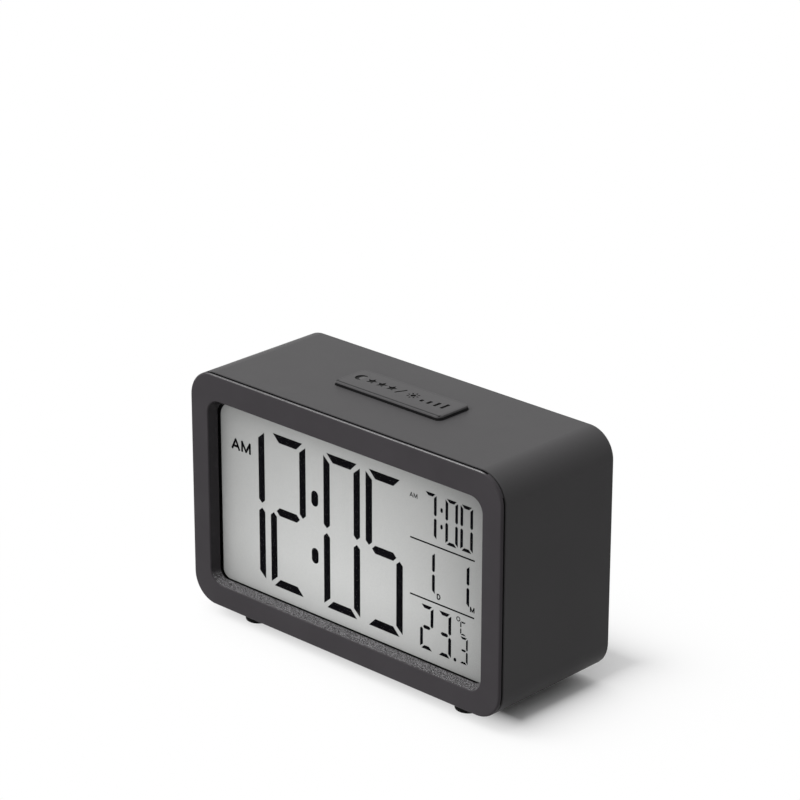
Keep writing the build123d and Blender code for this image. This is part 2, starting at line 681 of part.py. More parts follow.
def ribbon_cable():
    start = BOARD_BACK + SOCKET_THICK
    end = KEY_BOARD_FRONT - SOCKET_THICK
    span = end - start
    middle = FilletPolyline((start, RIBBON_LOW), (start + span / 3, RIBBON_LOW), (end - span / 3, RIBBON_HIGH),
                            (end, RIBBON_HIGH), radius=RIBBON_BEND)
    return bar(trace(middle, RIBBON_THICK), -RIBBON_AT - RIBBON_WIDTH / 2, -RIBBON_AT + RIBBON_WIDTH / 2)


# Housing and feet


def foot_places():
    x = WIDTH / 2 - FOOT_FROM_SIDE
    y = DEPTH / 2 - FOOT_FROM_FRONT
    return [(sx * x, sy * y) for sx in (-1, 1) for sy in (-1, 1)]


def post_places():
    return [(sx * POST_X, MIDDLE + sz * POST_Z) for sx in (-1, 1) for sz in (-1, 1)]


def housing_posts():
    """The four screw posts in the corners, each with two webs to the walls."""
    end = COVER_FRONT - POST_WEB
    start = end - POST_LENGTH
    posts = Part()
    for x, z in post_places():
        posts += slab(Circle(POST_RADIUS), start, end, x, z)
        wall_x = INNER_WIDTH / 2 + WALL / 2
        wall_z = INNER_HEIGHT / 2 + WALL / 2
        side = 1 if x > 0 else -1
        lift = 1 if z > MIDDLE else -1
        posts += block(min(x, side * wall_x), max(x, side * wall_x), start, end, z - POST_WEB / 2,
                       z + POST_WEB / 2)
        far = MIDDLE + lift * wall_z
        posts += block(x - POST_WEB / 2, x + POST_WEB / 2, start, end, min(z, far), max(z, far))
    return posts


def post_holes():
    end = COVER_FRONT - POST_WEB
    holes = []
    for x, z in post_places():
        holes.append(slab(Circle(CASE_SCREW / 2 + SCREW_FIT), end - CASE_SCREW_BITE - OVERRUN,
                          end + OVERRUN, x, z))
    return holes


def housing_ribs():
    """Low stiffening ribs along the floor and the roof of the housing."""
    start = FRONT + RIB_START
    end = COVER_FRONT - LEDGE_DEPTH
    root = WALL / 2
    ribs = Part()
    floor = BOTTOM + WALL
    for step in (2, 3):
        for side in (-1, 1):
            x = side * RIB_PITCH * step
            ribs += block(x - RIB_THICK / 2, x + RIB_THICK / 2, start, end, floor - root, floor + RIB_HEIGHT)
            ribs += block(x - RIB_THICK / 2, x + RIB_THICK / 2, start, end, ROOF - RIB_HEIGHT, ROOF + root)
    return ribs


def housing():
    outside = slab(RectangleRounded(WIDTH, BODY_HEIGHT, CORNER_RADIUS), HOUSING_FRONT, BACK, z=MIDDLE)
    outside = fillet(outside.faces().sort_by(Axis.Y)[-1].edges(), REAR_FILLET)
    outside = fillet(outside.faces().sort_by(Axis.Y)[0].edges(), FRONT_EDGE_FILLET)
    inside = RectangleRounded(INNER_WIDTH, INNER_HEIGHT, INNER_RADIUS)
    shell = outside - slab(inside, HOUSING_FRONT - OVERRUN, BACK + OVERRUN, z=MIDDLE)
    ledge = RectangleRounded(INNER_WIDTH + WALL, INNER_HEIGHT + WALL, INNER_RADIUS + WALL / 2)
    ledge -= RectangleRounded(INNER_WIDTH - 2 * LEDGE_WIDTH, INNER_HEIGHT - 2 * LEDGE_WIDTH,
                              INNER_RADIUS - LEDGE_WIDTH)
    shell += slab(ledge, COVER_FRONT - LEDGE_DEPTH, COVER_FRONT, z=MIDDLE)
    shell += housing_posts()
    shell += housing_ribs()
    for x, z in post_places():
        pad_room = slab(Circle(POST_RADIUS + COVER_FIT), COVER_FRONT - POST_WEB, COVER_FRONT + OVERRUN, x, z)
        shell -= pad_room
    for hole in post_holes():
        shell -= hole
    groove = block(-CATCH_LENGTH / 2 - CATCH_FIT, CATCH_LENGTH / 2 + CATCH_FIT, -CATCH_FIT,
                   CATCH_DEPTH + CATCH_FIT,
                   -OVERRUN, SLIDE_FIT + CATCH_HEIGHT)
    for cut in at_catches(groove, RIM_BACK + CATCH_BEHIND_RIM):
        shell -= cut
    opening = RectangleRounded(BUTTON_LENGTH + 2 * BUTTON_GAP, BUTTON_WIDTH + 2 * BUTTON_GAP,
                               BUTTON_RADIUS + BUTTON_GAP)
    shell -= column(opening, ROOF - OVERRUN, TOP + OVERRUN, 0, BUTTON_Y)
    for side in (-1, 1):
        x = side * SNOOZE_POST_PITCH / 2
        shell += column(Circle(SMALL_POST_RADIUS), SNOOZE_BOARD_TOP, ROOF + WALL / 2, x, BUTTON_Y)
        shell -= column(Circle(FINE_SCREW / 2 + SCREW_FIT), SNOOZE_BOARD_TOP - OVERRUN,
                        SNOOZE_BOARD_TOP + FINE_SCREW_BITE + OVERRUN, x, BUTTON_Y)
    for x, y in foot_places():
        shell -= column(Circle(FOOT_DIAMETER / 2 + FOOT_FIT), BOTTOM - OVERRUN, BOTTOM + FOOT_SEAT, x, y)
    return shell


def feet():
    pads = []
    for x, y in foot_places():
        pad = column(Circle(FOOT_DIAMETER / 2), 0, BOTTOM + FOOT_SEAT, x, y)
        pads.append(fillet(pad.edges().sort_by(Axis.Z)[0], FOOT_EDGE))
    return group(pads)


# Push switches


def switch_body():
    """The case of a push switch that stands on z=0, open at the top for its plunger."""
    case = Box(SWITCH_SIDE, SWITCH_SIDE, SWITCH_HEIGHT, align=(Align.CENTER, Align.CENTER, Align.MIN))
    case = chamfer(case.edges().filter_by(Axis.Z), SWITCH_CHAMFER)
    for side in (-1, 1):
        for end in (-1, 1):
            leg = Box(SWITCH_LEG_SPREAD / 2, SWITCH_LEG, SWITCH_LEG,
                      align=(Align.MIN, Align.CENTER, Align.MIN))
            if side < 0:
                leg = Rot(0, 0, 180) * leg
            case += Pos(0, end * SWITCH_SIDE / 3, 0) * leg
    low = SWITCH_HEIGHT - PLUNGER_SUNK - BUTTON_TRAVEL
    well = Cylinder(PLUNGER_RADIUS + PLUNGER_FIT, SWITCH_HEIGHT,
                    align=(Align.CENTER, Align.CENTER, Align.MIN))
    return case - Pos(0, 0, low - PLUNGER_FIT) * well


def switch_plunger():
    """The round plunger of a push switch, in its place above z=0."""
    length = PLUNGER_SUNK + PLUNGER_PROUD
    stem = Cylinder(PLUNGER_RADIUS, length, align=(Align.CENTER, Align.CENTER, Align.MIN))
    stem = chamfer(stem.edges().sort_by(Axis.Z)[-1], PLUNGER_RADIUS / 8)
    return Pos(0, 0, SWITCH_HEIGHT - PLUNGER_SUNK) * stem


# Top button


def snooze_button():
    cap = column(RectangleRounded(BUTTON_LENGTH, BUTTON_WIDTH, BUTTON_RADIUS), FLANGE_LOW, BUTTON_TOP, 0,
                 BUTTON_Y)
    cap = fillet(cap.faces().sort_by(Axis.Z)[-1].edges(), BUTTON_FILLET)
    flange = RectangleRounded(BUTTON_LENGTH + 2 * FLANGE_MARGIN, BUTTON_WIDTH + 2 * FLANGE_MARGIN,
                              BUTTON_RADIUS + FLANGE_MARGIN)
    cap += column(flange, FLANGE_LOW, FLANGE_TOP, 0, BUTTON_Y)
    hollow = RectangleRounded(BUTTON_LENGTH - 2 * BUTTON_WALL, BUTTON_WIDTH - 2 * BUTTON_WALL,
                              BUTTON_RADIUS / 2)
    cap -= column(hollow, FLANGE_LOW - OVERRUN, BUTTON_TOP - BUTTON_SKIN, 0, BUTTON_Y)
    for step in (-1, 0, 1):
        x = step * BUTTON_LENGTH / 4
        cap += block(x - BUTTON_WALL / 2, x + BUTTON_WALL / 2, BUTTON_Y - BUTTON_WIDTH / 2 + BUTTON_WALL / 2,
                     BUTTON_Y + BUTTON_WIDTH / 2 - BUTTON_WALL / 2, FLANGE_LOW, BUTTON_TOP - BUTTON_SKIN / 2)
    tip = SNOOZE_BOARD_TOP + SWITCH_HEIGHT + PLUNGER_PROUD
    return cap + column(Circle(STEM_RADIUS), tip, BUTTON_TOP - BUTTON_SKIN / 2, 0, BUTTON_Y)


def snooze_plunger():
    return Pos(0, BUTTON_Y, SNOOZE_BOARD_TOP) * switch_plunger()


def snooze_switch():
    return Pos(0, BUTTON_Y, SNOOZE_BOARD_TOP) * switch_body()


def snooze_board():
    board = column(Rectangle(SNOOZE_BOARD_LENGTH, SNOOZE_BOARD_WIDTH), SNOOZE_BOARD_LOW, SNOOZE_BOARD_TOP,
                   0, BUTTON_Y)
    for side in (-1, 1):
        board -= column(Circle(FINE_SCREW / 2 + SCREW_FIT), SNOOZE_BOARD_LOW - OVERRUN,
                        SNOOZE_BOARD_TOP + OVERRUN,
                        side * SNOOZE_POST_PITCH / 2, BUTTON_Y)
    return board


def snooze_screws():
    one = Rot(180, 0, 0) * screw(FINE_SCREW, FINE_HEAD, FINE_HEAD_HEIGHT, SMALL_BOARD_THICK + FINE_SCREW_BITE)
    return group([Pos(side * SNOOZE_POST_PITCH / 2, BUTTON_Y, SNOOZE_BOARD_LOW) * one for side in (-1, 1)])


def snooze_leads():
    wires = []
    x = -SNOOZE_BOARD_LENGTH / 4
    edge = BUTTON_Y - SNOOZE_BOARD_WIDTH / 2
    level = SNOOZE_BOARD_LOW - LEAD_DIAMETER
    for side in (-1, 1):
        out = x + side * LEAD_SPREAD
        wires.append(lead([(out, edge + LEAD_BEND, SNOOZE_BOARD_LOW),
                           (out, edge + LEAD_BEND, level - 2 * LEAD_BEND),
                           (out, BOARD_BACK, level - 2 * LEAD_BEND)]))
    return group(wires)


# Rear cover


def bay_rows():
    """The heights of the cells' axes."""
    return [BAY_BOTTOM + ROW_MARGIN + ROW_PITCH * step for step in range(CELL_COUNT)]


def bay_body():
    """The well that holds the cells, still without its cavity, with the flange that the door rests over."""
    end = BAY_LENGTH / 2
    well = block(-end - BAY_WALL, end + BAY_WALL, BAY_FRONT - BAY_FLOOR, COVER_FRONT, BAY_BOTTOM - BAY_WALL,
                 BAY_TOP + BAY_WALL)
    half = DOOR_HALF + DOOR_GAP + FLANGE_PLATE_MARGIN
    low = HINGE_Z - BARREL_RADIUS - DOOR_GAP - FLANGE_PLATE_MARGIN / 2
    return well + block(-half, half, COVER_FRONT - FLANGE_PLATE, COVER_FRONT, low,
                        DOOR_TOP + DOOR_GAP + FLANGE_PLATE_MARGIN)


def latch_pocket():
    """The walls round the latch, and the space inside them with the bar that the nose sits behind."""
    half = LATCH_WIDTH / 2 + POCKET_FIT
    front = LATCH_FRONT - POCKET_FIT
    floor = BAY_TOP + BAY_WALL
    roof = PAD_TOP + DOOR_GAP
    walls = block(-half - POCKET_WALL, half + POCKET_WALL, front - POCKET_WALL, COVER_FRONT, BAY_TOP,
                  roof + POCKET_WALL)
    space = block(-half, half, front, COVER_BACK + OVERRUN, floor, roof)
    bar_low = NOSE_TOP + CONTACT_GAP
    space -= block(-half, half, COVER_FRONT - CATCH_BAR, COVER_FRONT, bar_low, roof)
    return walls, space


def bay_cavity():
    """The room for the cells, less the low ribs between them."""
    end = BAY_LENGTH / 2
    room = block(-end, end, BAY_FRONT, COVER_FRONT + OVERRUN, BAY_BOTTOM, BAY_TOP)
    for low in bay_rows()[:-1]:
        z = low + ROW_PITCH / 2
        for side in (-1, 1):
            x = side * end / 2
            room -= block(x - end / 3, x + end / 3, BAY_FRONT, BAY_FRONT + BAY_RIB_HEIGHT,
                          z - BAY_RIB_THICK / 2,
                          z + BAY_RIB_THICK / 2)
    return room


def tab_slots():
    """Slots in the end walls for the solder tabs of the two end contacts."""
    rows = bay_rows()
    y = BAY_FRONT + TAB_FROM_FLOOR
    cuts = []
    for side, z in ((1, rows[0]), (-1, rows[-1])):
        near = side * (BAY_LENGTH / 2 - OVERRUN)
        far = side * (BAY_LENGTH / 2 + BAY_WALL + OVERRUN)
        cuts.append(block(min(near, far), max(near, far), y - CONTACT_GAP, y + CONTACT_THICK + CONTACT_GAP,
                          z - TAB_SIDE / 2 - CONTACT_GAP, z + TAB_SIDE / 2 + CONTACT_GAP))
    return cuts


def sound_holes():
    holes = []
    for ring, count in enumerate(SOUND_RING_COUNTS):
        places = PolarLocations(ring * SOUND_RING_PITCH, count)
        for place in places:
            outline = place * Circle(SOUND_HOLE / 2)
            holes.append(slab(outline, COVER_FRONT - OVERRUN, COVER_BACK + OVERRUN, SOUNDER_AT, SOUNDER_UP))
    return holes


def key_places():
    """The four rear keys by name, with their places along X."""
    names = ("set", "up", "down", "alarm")
    return [(name, KEY_FIRST - KEY_PITCH * step) for step, name in enumerate(names)]


def key_post_places():
    """The three posts of the key board: two between keys, one at the end beyond the alarm knob."""
    return (KEY_FIRST - KEY_PITCH / 2, KEY_FIRST - KEY_PITCH * 5 / 2, KEY_POST_INSET - KEY_BOARD_LEFT)


def rear_cover():
    outline = RectangleRounded(INNER_WIDTH - 2 * COVER_FIT, INNER_HEIGHT - 2 * COVER_FIT,
                               INNER_RADIUS - COVER_FIT)
    cover = slab(outline, COVER_FRONT, COVER_BACK, z=MIDDLE)
    cover = fillet(cover.faces().sort_by(Axis.Y)[-1].edges(), FRONT_EDGE_FILLET)
    cover += bay_body()
    walls, space = latch_pocket()
    cover += walls
    ring = Circle(SOUNDER_RADIUS + SOUNDER_FIT + RING_WALL) - Circle(SOUNDER_RADIUS + SOUNDER_FIT)
    cover += slab(ring, COVER_FRONT - RING_HEIGHT, COVER_FRONT, SOUNDER_AT, SOUNDER_UP)
    for x in key_post_places():
        cover += slab(Circle(SMALL_POST_RADIUS), KEY_BOARD_BACK, COVER_FRONT, x, KEY_ROW_UP)
        cover -= slab(Circle(FINE_SCREW / 2 + SCREW_FIT), KEY_BOARD_BACK - OVERRUN,
                      KEY_BOARD_BACK + FINE_SCREW_BITE + OVERRUN, x, KEY_ROW_UP)
    for x, z in post_places():
        cover += slab(Circle(POST_RADIUS), COVER_FRONT - POST_WEB, COVER_FRONT, x, z)
        cover -= slab(Circle(CASE_SCREW / 2 + SCREW_FIT), COVER_FRONT - POST_WEB - OVERRUN,
                      COVER_BACK + OVERRUN, x, z)
        cover -= slab(Circle(CASE_HEAD / 2 + COVER_FIT), COVER_BACK - CASE_HEAD_HEIGHT,
                      COVER_BACK + OVERRUN, x, z)
    cover -= bay_cavity()
    half = DOOR_HALF + DOOR_GAP
    cover -= block(-half, half, COVER_FRONT, COVER_BACK + OVERRUN, HINGE_Z - BARREL_RADIUS - DOOR_GAP,
                   DOOR_TOP + DOOR_GAP)
    groove = Pos(HINGE_Y, HINGE_Z) * Circle(BARREL_RADIUS + DOOR_GAP)
    cover -= bar(groove, -half, half)
    socket = Pos(HINGE_Y, HINGE_Z) * Circle(PIN_RADIUS + PIN_FIT)
    reach = DOOR_HALF + PIN_LENGTH + PIN_FIT
    cover -= bar(socket, -reach, reach)
    cover -= space
    for cut in tab_slots() + sound_holes():
        cover -= cut
    for step in range(VENT_COUNT):
        z = SOUNDER_UP + VENT_PITCH * (step - (VENT_COUNT - 1) / 2)
        cover -= slab(SlotOverall(VENT_LENGTH, VENT_HEIGHT), COVER_FRONT - OVERRUN, COVER_BACK + OVERRUN,
                      -SOUNDER_AT, z)
    for name, x in key_places():
        hole = SlotOverall(KEY_LENGTH + 2 * KEY_GAP, KEY_HEIGHT + 2 * KEY_GAP)
        cover -= slab(hole, COVER_FRONT - OVERRUN, COVER_BACK + OVERRUN, x, KEY_ROW_UP)
    slot = Rectangle(KNOB_LENGTH + KNOB_TRAVEL + 2 * KNOB_GAP, KNOB_HEIGHT + 2 * KNOB_GAP)
    cover -= slab(slot, COVER_FRONT - OVERRUN, COVER_BACK + OVERRUN, -KNOB_AT + KNOB_TRAVEL / 2, KEY_ROW_UP)
    return cover


def case_screws():
    one = screw(CASE_SCREW, CASE_HEAD, CASE_HEAD_HEIGHT,
                COVER_THICK + POST_WEB - CASE_HEAD_HEIGHT + CASE_SCREW_BITE, True)
    return group([backward(x, COVER_BACK - CASE_HEAD_HEIGHT, z) * one for x, z in post_places()])


# Battery door


def door_latch():
    """The springy U at the top of the door, with its nose and its thumb pad."""
    lower = DOOR_TOP - LATCH_THICK / 2
    upper = LATCH_UPPER + LATCH_THICK / 2
    deep = LATCH_FRONT + LATCH_BEND
    face = COVER_BACK - PAD_THICK / 3
    leg = Line((DOOR_FRONT + LATCH_THICK / 2, lower), (deep, lower))
    turn = ThreePointArc((deep, lower), (deep - (upper - lower) / 2, (lower + upper) / 2), (deep, upper))
    spring = bar(trace([leg, turn, Line((deep, upper), (face, upper))], LATCH_THICK), -LATCH_WIDTH / 2,
                 LATCH_WIDTH / 2)
    half = LATCH_WIDTH / 2
    spring += block(-half, half, face - PAD_THICK, face, LATCH_UPPER, PAD_TOP)
    root = LATCH_UPPER + LATCH_THICK / 2
    behind = COVER_FRONT - CATCH_BAR - CONTACT_GAP
    nose = Polyline((behind - NOSE_DEPTH, root), (behind, root), (behind, NOSE_TOP),
                    (behind - NOSE_DEPTH / 3, NOSE_TOP), close=True)
    return spring + bar(make_face(nose), -half, half)


def battery_door():
    door = block(-DOOR_HALF, DOOR_HALF, DOOR_FRONT, COVER_BACK, HINGE_Z, DOOR_TOP)
    door += bar(Pos(HINGE_Y, HINGE_Z) * Circle(BARREL_RADIUS), -DOOR_HALF, DOOR_HALF)
    door += bar(Pos(HINGE_Y, HINGE_Z) * Circle(PIN_RADIUS), -DOOR_HALF - PIN_LENGTH, DOOR_HALF + PIN_LENGTH)
    for side in (-1, 1):
        x = side * DOOR_RIB_PITCH / 2
        door += block(x - DOOR_RIB_WIDTH / 2, x + DOOR_RIB_WIDTH / 2, DOOR_FRONT - DOOR_RIB_HEIGHT,
                      DOOR_FRONT,
                      BAY_BOTTOM + ROW_MARGIN, BAY_TOP - ROW_MARGIN)
    return door + door_latch()


# Cells and contacts


def cell():
    """A cell along X with its plus end at x=0 and its axis on y=z=0."""
    outer = CELL_DIAMETER / 2
    body = CELL_LENGTH - CELL_NUB_LENGTH
    rim = outer - CELL_EDGE
    profile = Polyline((0, 0), (0, CELL_NUB_RADIUS), (-CELL_NUB_LENGTH, CELL_NUB_RADIUS),
                       (-CELL_NUB_LENGTH, rim),
                       (-CELL_NUB_LENGTH - CELL_EDGE, outer), (-body, outer), (-body, outer - CELL_GROOVE),
                       (-CELL_LENGTH + CELL_EDGE, outer - CELL_GROOVE), (-CELL_LENGTH, rim),
                       (-CELL_LENGTH, 0), close=True)
    return revolve(make_face(profile), Axis.X)


def plus_side(row):
    """The side that a row's plus end looks to: the rows alternate."""
    return 1 if row % 2 == 0 else -1


def cell_in_row(row):
    tip = CONTACT_FACE - DIMPLE_HEIGHT - CONTACT_GAP
    turn = 0 if plus_side(row) > 0 else 180
    return Pos(plus_side(row) * tip, CELL_Y, bay_rows()[row]) * Rot(0, 0, turn) * cell()


def contact_plate(side, rows):
    """A stamped plate on one end wall, with a dimple at a plus end and a bent leaf at a minus end."""
    heights = [bay_rows()[row] for row in rows]
    near = side * CONTACT_FACE
    far = side * (CONTACT_FACE + CONTACT_THICK)
    half = CONTACT_SIDE / 2
    plate = block(min(near, far), max(near, far), CELL_Y - half, CELL_Y + half, min(heights) - half,
                  max(heights) + half)
    for row in rows:
        z = bay_rows()[row]
        if plus_side(row) == side:
            radius = (DIMPLE_RADIUS ** 2 + DIMPLE_HEIGHT ** 2) / (2 * DIMPLE_HEIGHT)
            turn = Rot(0, 0, 0 if side > 0 else 180)
            ball = Pos(near + side * (radius - DIMPLE_HEIGHT), CELL_Y, z) * turn * Sphere(radius)
            window = block(min(far, near - side * DIMPLE_HEIGHT), max(far, near - side * DIMPLE_HEIGHT),
                           CELL_Y - half, CELL_Y + half, z - half, z + half)
            plate += ball & window
        else:
            crest = near - side * LEAF_REACH
            tip = near - side * CONTACT_THICK
            span = LEAF_SPAN / 2
            back = side * CONTACT_THICK
            outline = Polyline((near + back, CELL_Y - span), (near, CELL_Y - span),
                               (crest, CELL_Y - span / 4),
                               (crest, CELL_Y + span / 4), (tip, CELL_Y + span),
                               (tip + back / 2, CELL_Y + span),
                               (crest + back, CELL_Y + span / 4), (crest + back, CELL_Y - span / 4),
                               close=True)
            plate += column(make_face(outline), z - LEAF_WIDTH / 2, z + LEAF_WIDTH / 2)
    return plate


def solder_tab(side, row):
    z = bay_rows()[row]
    y = BAY_FRONT + TAB_FROM_FLOOR
    near = side * CONTACT_FACE
    far = side * (CONTACT_FACE + CONTACT_THICK + TAB_LENGTH)
    return block(min(near, far), max(near, far), y, y + CONTACT_THICK, z - TAB_SIDE / 2, z + TAB_SIDE / 2)


def contact_plus():
    return contact_plate(1, (0,)) + solder_tab(1, 0)


def contact_minus():
    return contact_plate(-1, (2,)) + solder_tab(-1, 2)


def contact_bridge_left():
    return contact_plate(-1, (0, 1))


def contact_bridge_right():
    return contact_plate(1, (1, 2))


def battery_leads():
    wires = []
    for side, row in ((1, 0), (-1, 2)):
        x = side * (CONTACT_FACE + CONTACT_THICK + TAB_LENGTH - LEAD_DIAMETER / 2)
        z = bay_rows()[row]
        start = BAY_FRONT + TAB_FROM_FLOOR
        bend = start - LEAD_BEND * 3
        inward = x - side * LEAD_BEND * 2
        wires.append(lead([(x, start, z), (x, bend, z), (inward, BOARD_BACK + LEAD_BEND * 3, z + LEAD_BEND),
                           (inward, BOARD_BACK, z + LEAD_BEND)]))
    return group(wires)


# Rear keys


def key_cap(x):
    flange = SlotOverall(KEY_LENGTH + 2 * KEY_FLANGE, KEY_HEIGHT + 2 * KEY_FLANGE)
    cap = slab(SlotOverall(KEY_LENGTH, KEY_HEIGHT), KEY_FLANGE_BACK - KEY_FLANGE_THICK,
               COVER_BACK + KEY_PROUD, x, KEY_ROW_UP)
    cap = fillet(cap.faces().sort_by(Axis.Y)[-1].edges(), KEY_FILLET)
    cap += slab(flange, KEY_FLANGE_BACK - KEY_FLANGE_THICK, KEY_FLANGE_BACK, x, KEY_ROW_UP)
    tip = KEY_BOARD_BACK + SWITCH_HEIGHT + PLUNGER_PROUD
    return cap + slab(Circle(PLUNGER_RADIUS), tip, KEY_FLANGE_BACK - KEY_FLANGE_THICK, x, KEY_ROW_UP)


def key_plunger(x):
    return backward(x, KEY_BOARD_BACK, KEY_ROW_UP) * switch_plunger()


def key_switches():
    return group([backward(x, KEY_BOARD_BACK, KEY_ROW_UP) * switch_body() for name, x in key_places()])


def key_board():
    middle = (KEY_BOARD_RIGHT - KEY_BOARD_LEFT) / 2
    outline = Rectangle(KEY_BOARD_LEFT + KEY_BOARD_RIGHT, KEY_BOARD_HEIGHT)
    board = slab(outline, KEY_BOARD_FRONT, KEY_BOARD_BACK, middle, KEY_ROW_UP)
    for x in key_post_places():
        board -= slab(Circle(FINE_SCREW / 2 + SCREW_FIT), KEY_BOARD_FRONT - OVERRUN,
                      KEY_BOARD_BACK + OVERRUN, x, KEY_ROW_UP)
    return board


def key_board_screws():
    one = screw(FINE_SCREW, FINE_HEAD, FINE_HEAD_HEIGHT, SMALL_BOARD_THICK + FINE_SCREW_BITE)
    return group([facing(KEY_BOARD_FRONT, x, KEY_ROW_UP).location * one for x in key_post_places()])


# Alarm switch


def alarm_knob():
    """The knob in its off place, with ridges for the fingertip and a flange inside the cover."""
    x = -KNOB_AT
    flange_back = COVER_FRONT - KNOB_GAP
    flange = Rectangle(KNOB_LENGTH + 2 * KNOB_FLANGE, KNOB_HEIGHT + 2 * KNOB_FLANGE)
    knob = slab(Rectangle(KNOB_LENGTH, KNOB_HEIGHT), flange_back - KNOB_FLANGE, COVER_BACK + KNOB_PROUD, x,
                KEY_ROW_UP)
    for step in (-1, 0, 1):
        groove = Rectangle(KNOB_RIDGE, KNOB_HEIGHT + OVERRUN)
        knob -= slab(groove, COVER_BACK + KNOB_PROUD - KNOB_RIDGE, COVER_BACK + KNOB_PROUD + OVERRUN,
                     x + step * KNOB_LENGTH / 4, KEY_ROW_UP)
    knob += slab(flange, flange_back - KNOB_FLANGE, flange_back, x, KEY_ROW_UP)
    hole = Rectangle(LEVER_SIDE + 2 * LEVER_FIT, LEVER_SIDE + 2 * LEVER_FIT)
    return knob - slab(hole, flange_back - KNOB_FLANGE - OVERRUN, flange_back + LEVER_BITE / 2, x, KEY_ROW_UP)


def alarm_lever():
    end = COVER_FRONT - KNOB_GAP + LEVER_BITE / 2 - LEVER_FIT
    start = KEY_BOARD_BACK + SLIDE_THICK - SLIDE_CAVITY + LEVER_FIT
    return slab(Rectangle(LEVER_SIDE, LEVER_SIDE), start, end, -KNOB_AT, KEY_ROW_UP)


def alarm_switch():
    x = -KNOB_AT + KNOB_TRAVEL / 2
    case = slab(Rectangle(SLIDE_LENGTH, SLIDE_HEIGHT), KEY_BOARD_BACK, KEY_BOARD_BACK + SLIDE_THICK, x,
                KEY_ROW_UP)
    slot = Rectangle(LEVER_SIDE + KNOB_TRAVEL + 2 * LEVER_FIT, LEVER_SIDE + 2 * LEVER_FIT)
    floor = KEY_BOARD_BACK + SLIDE_THICK - SLIDE_CAVITY
    return case - slab(slot, floor, KEY_BOARD_BACK + SLIDE_THICK + OVERRUN, x, KEY_ROW_UP)


# Sounder and thermistor


def sounder_case():
    start = COVER_FRONT - SOUNDER_HEIGHT
    cup = slab(Circle(SOUNDER_RADIUS), start, COVER_FRONT, SOUNDER_AT, SOUNDER_UP)
    cup -= slab(Circle(DISC_RADIUS), start + SOUNDER_WALL, COVER_FRONT + OVERRUN, SOUNDER_AT, SOUNDER_UP)
    return cup


def sounder_disc():
    middle = COVER_FRONT - SOUNDER_HEIGHT / 2
    return slab(Circle(DISC_RADIUS - CONTACT_GAP), middle - DISC_THICK / 2, middle + DISC_THICK / 2,
                SOUNDER_AT, SOUNDER_UP)


def sounder_leads():
    wires = []
    start = COVER_FRONT - SOUNDER_HEIGHT
    for side in (-1, 1):
        x = SOUNDER_AT + side * LEAD_SPREAD
        inward = x - SOUNDER_RADIUS / 2
        wires.append(lead([(x, start, SOUNDER_UP), (x, start - LEAD_BEND * 3, SOUNDER_UP),
                           (inward, BOARD_BACK + LEAD_BEND * 3, SOUNDER_UP + LEAD_BEND),
                           (inward, BOARD_BACK, SOUNDER_UP + LEAD_BEND)]))
    return group(wires)


def thermistor():
    """The bead behind the vents, on two thin leads that come down from the key board."""
    y = COVER_FRONT - BEAD_FROM_COVER
    bead = Pos(-SOUNDER_AT, y, SOUNDER_UP) * Sphere(BEAD_RADIUS)
    edge = KEY_ROW_UP - KEY_BOARD_HEIGHT / 2
    level = edge + LEAD_BEND
    for side in (-1, 1):
        x = -SOUNDER_AT + side * BEAD_SPREAD / 2
        path = FilletPolyline((x, KEY_BOARD_BACK, level), (x, y, level), (x, y, SOUNDER_UP), radius=LEAD_BEND)
        start = Plane(origin=path @ 0, z_dir=path % 0)
        bead += sweep(start * Circle(BEAD_LEAD / 2), path=path)
    return bead


def build():
    """Every piece of the clock by its node name."""
    pieces = {
        "front_frame": front_frame(),
        "lens": lens(),
        "display_gasket": display_gasket(),
        "front_polariser": front_polariser(),
        "front_glass": front_glass(),
        "rear_glass": rear_glass(),
        "rear_polariser": rear_polariser(),
        "diffuser": diffuser(),
        "light_guide": light_guide(),
        "reflector_sheet": reflector_sheet(),
        "contact_strip": contact_strip(),
        "backlight_lamps": backlight_lamps(),
        "backlight_boards": backlight_boards(),
        "display_tray": display_tray(),
        "tray_screws": tray_screws(),
        "main_board": main_board(),
        "board_screws": board_screws(),
        "chip_cover": chip_cover(),
        "crystal": crystal(),
        "board_parts": board_parts(),
        "ribbon_sockets": ribbon_sockets(),
        "ribbon_cable": ribbon_cable(),
        "housing": housing(),
        "feet": feet(),
        "snooze_button": snooze_button(),
        "snooze_plunger": snooze_plunger(),
        "snooze_switch": snooze_switch(),
        "snooze_board": snooze_board(),
        "snooze_screws": snooze_screws(),
        "snooze_leads": snooze_leads(),
        "rear_cover": rear_cover(),
        "case_screws": case_screws(),
        "battery_door": battery_door(),
        "contact_plus": contact_plus(),
        "contact_minus": contact_minus(),
        "contact_bridge_left": contact_bridge_left(),
        "contact_bridge_right": contact_bridge_right(),
        "battery_leads": battery_leads(),
        "key_board": key_board(),
        "key_board_screws": key_board_screws(),
        "key_switches": key_switches(),
        "alarm_knob": alarm_knob(),
        "alarm_lever": alarm_lever(),
        "alarm_switch": alarm_switch(),
        "sounder_case": sounder_case(),
        "sounder_disc": sounder_disc(),
        "sounder_leads": sounder_leads(),
        "thermistor": thermistor(),
    }
    for row in range(CELL_COUNT):
        pieces[f"battery_{row + 1}"] = cell_in_row(row)
    for name, x in key_places():
        pieces[f"{name}_key"] = key_cap(x)
        pieces[f"{name}_plunger"] = key_plunger(x)
    return pieces


for node, piece in build().items():
    export_step(piece, f"parts/{node}.step")
    print(node, len(piece.solids()), round(piece.volume))
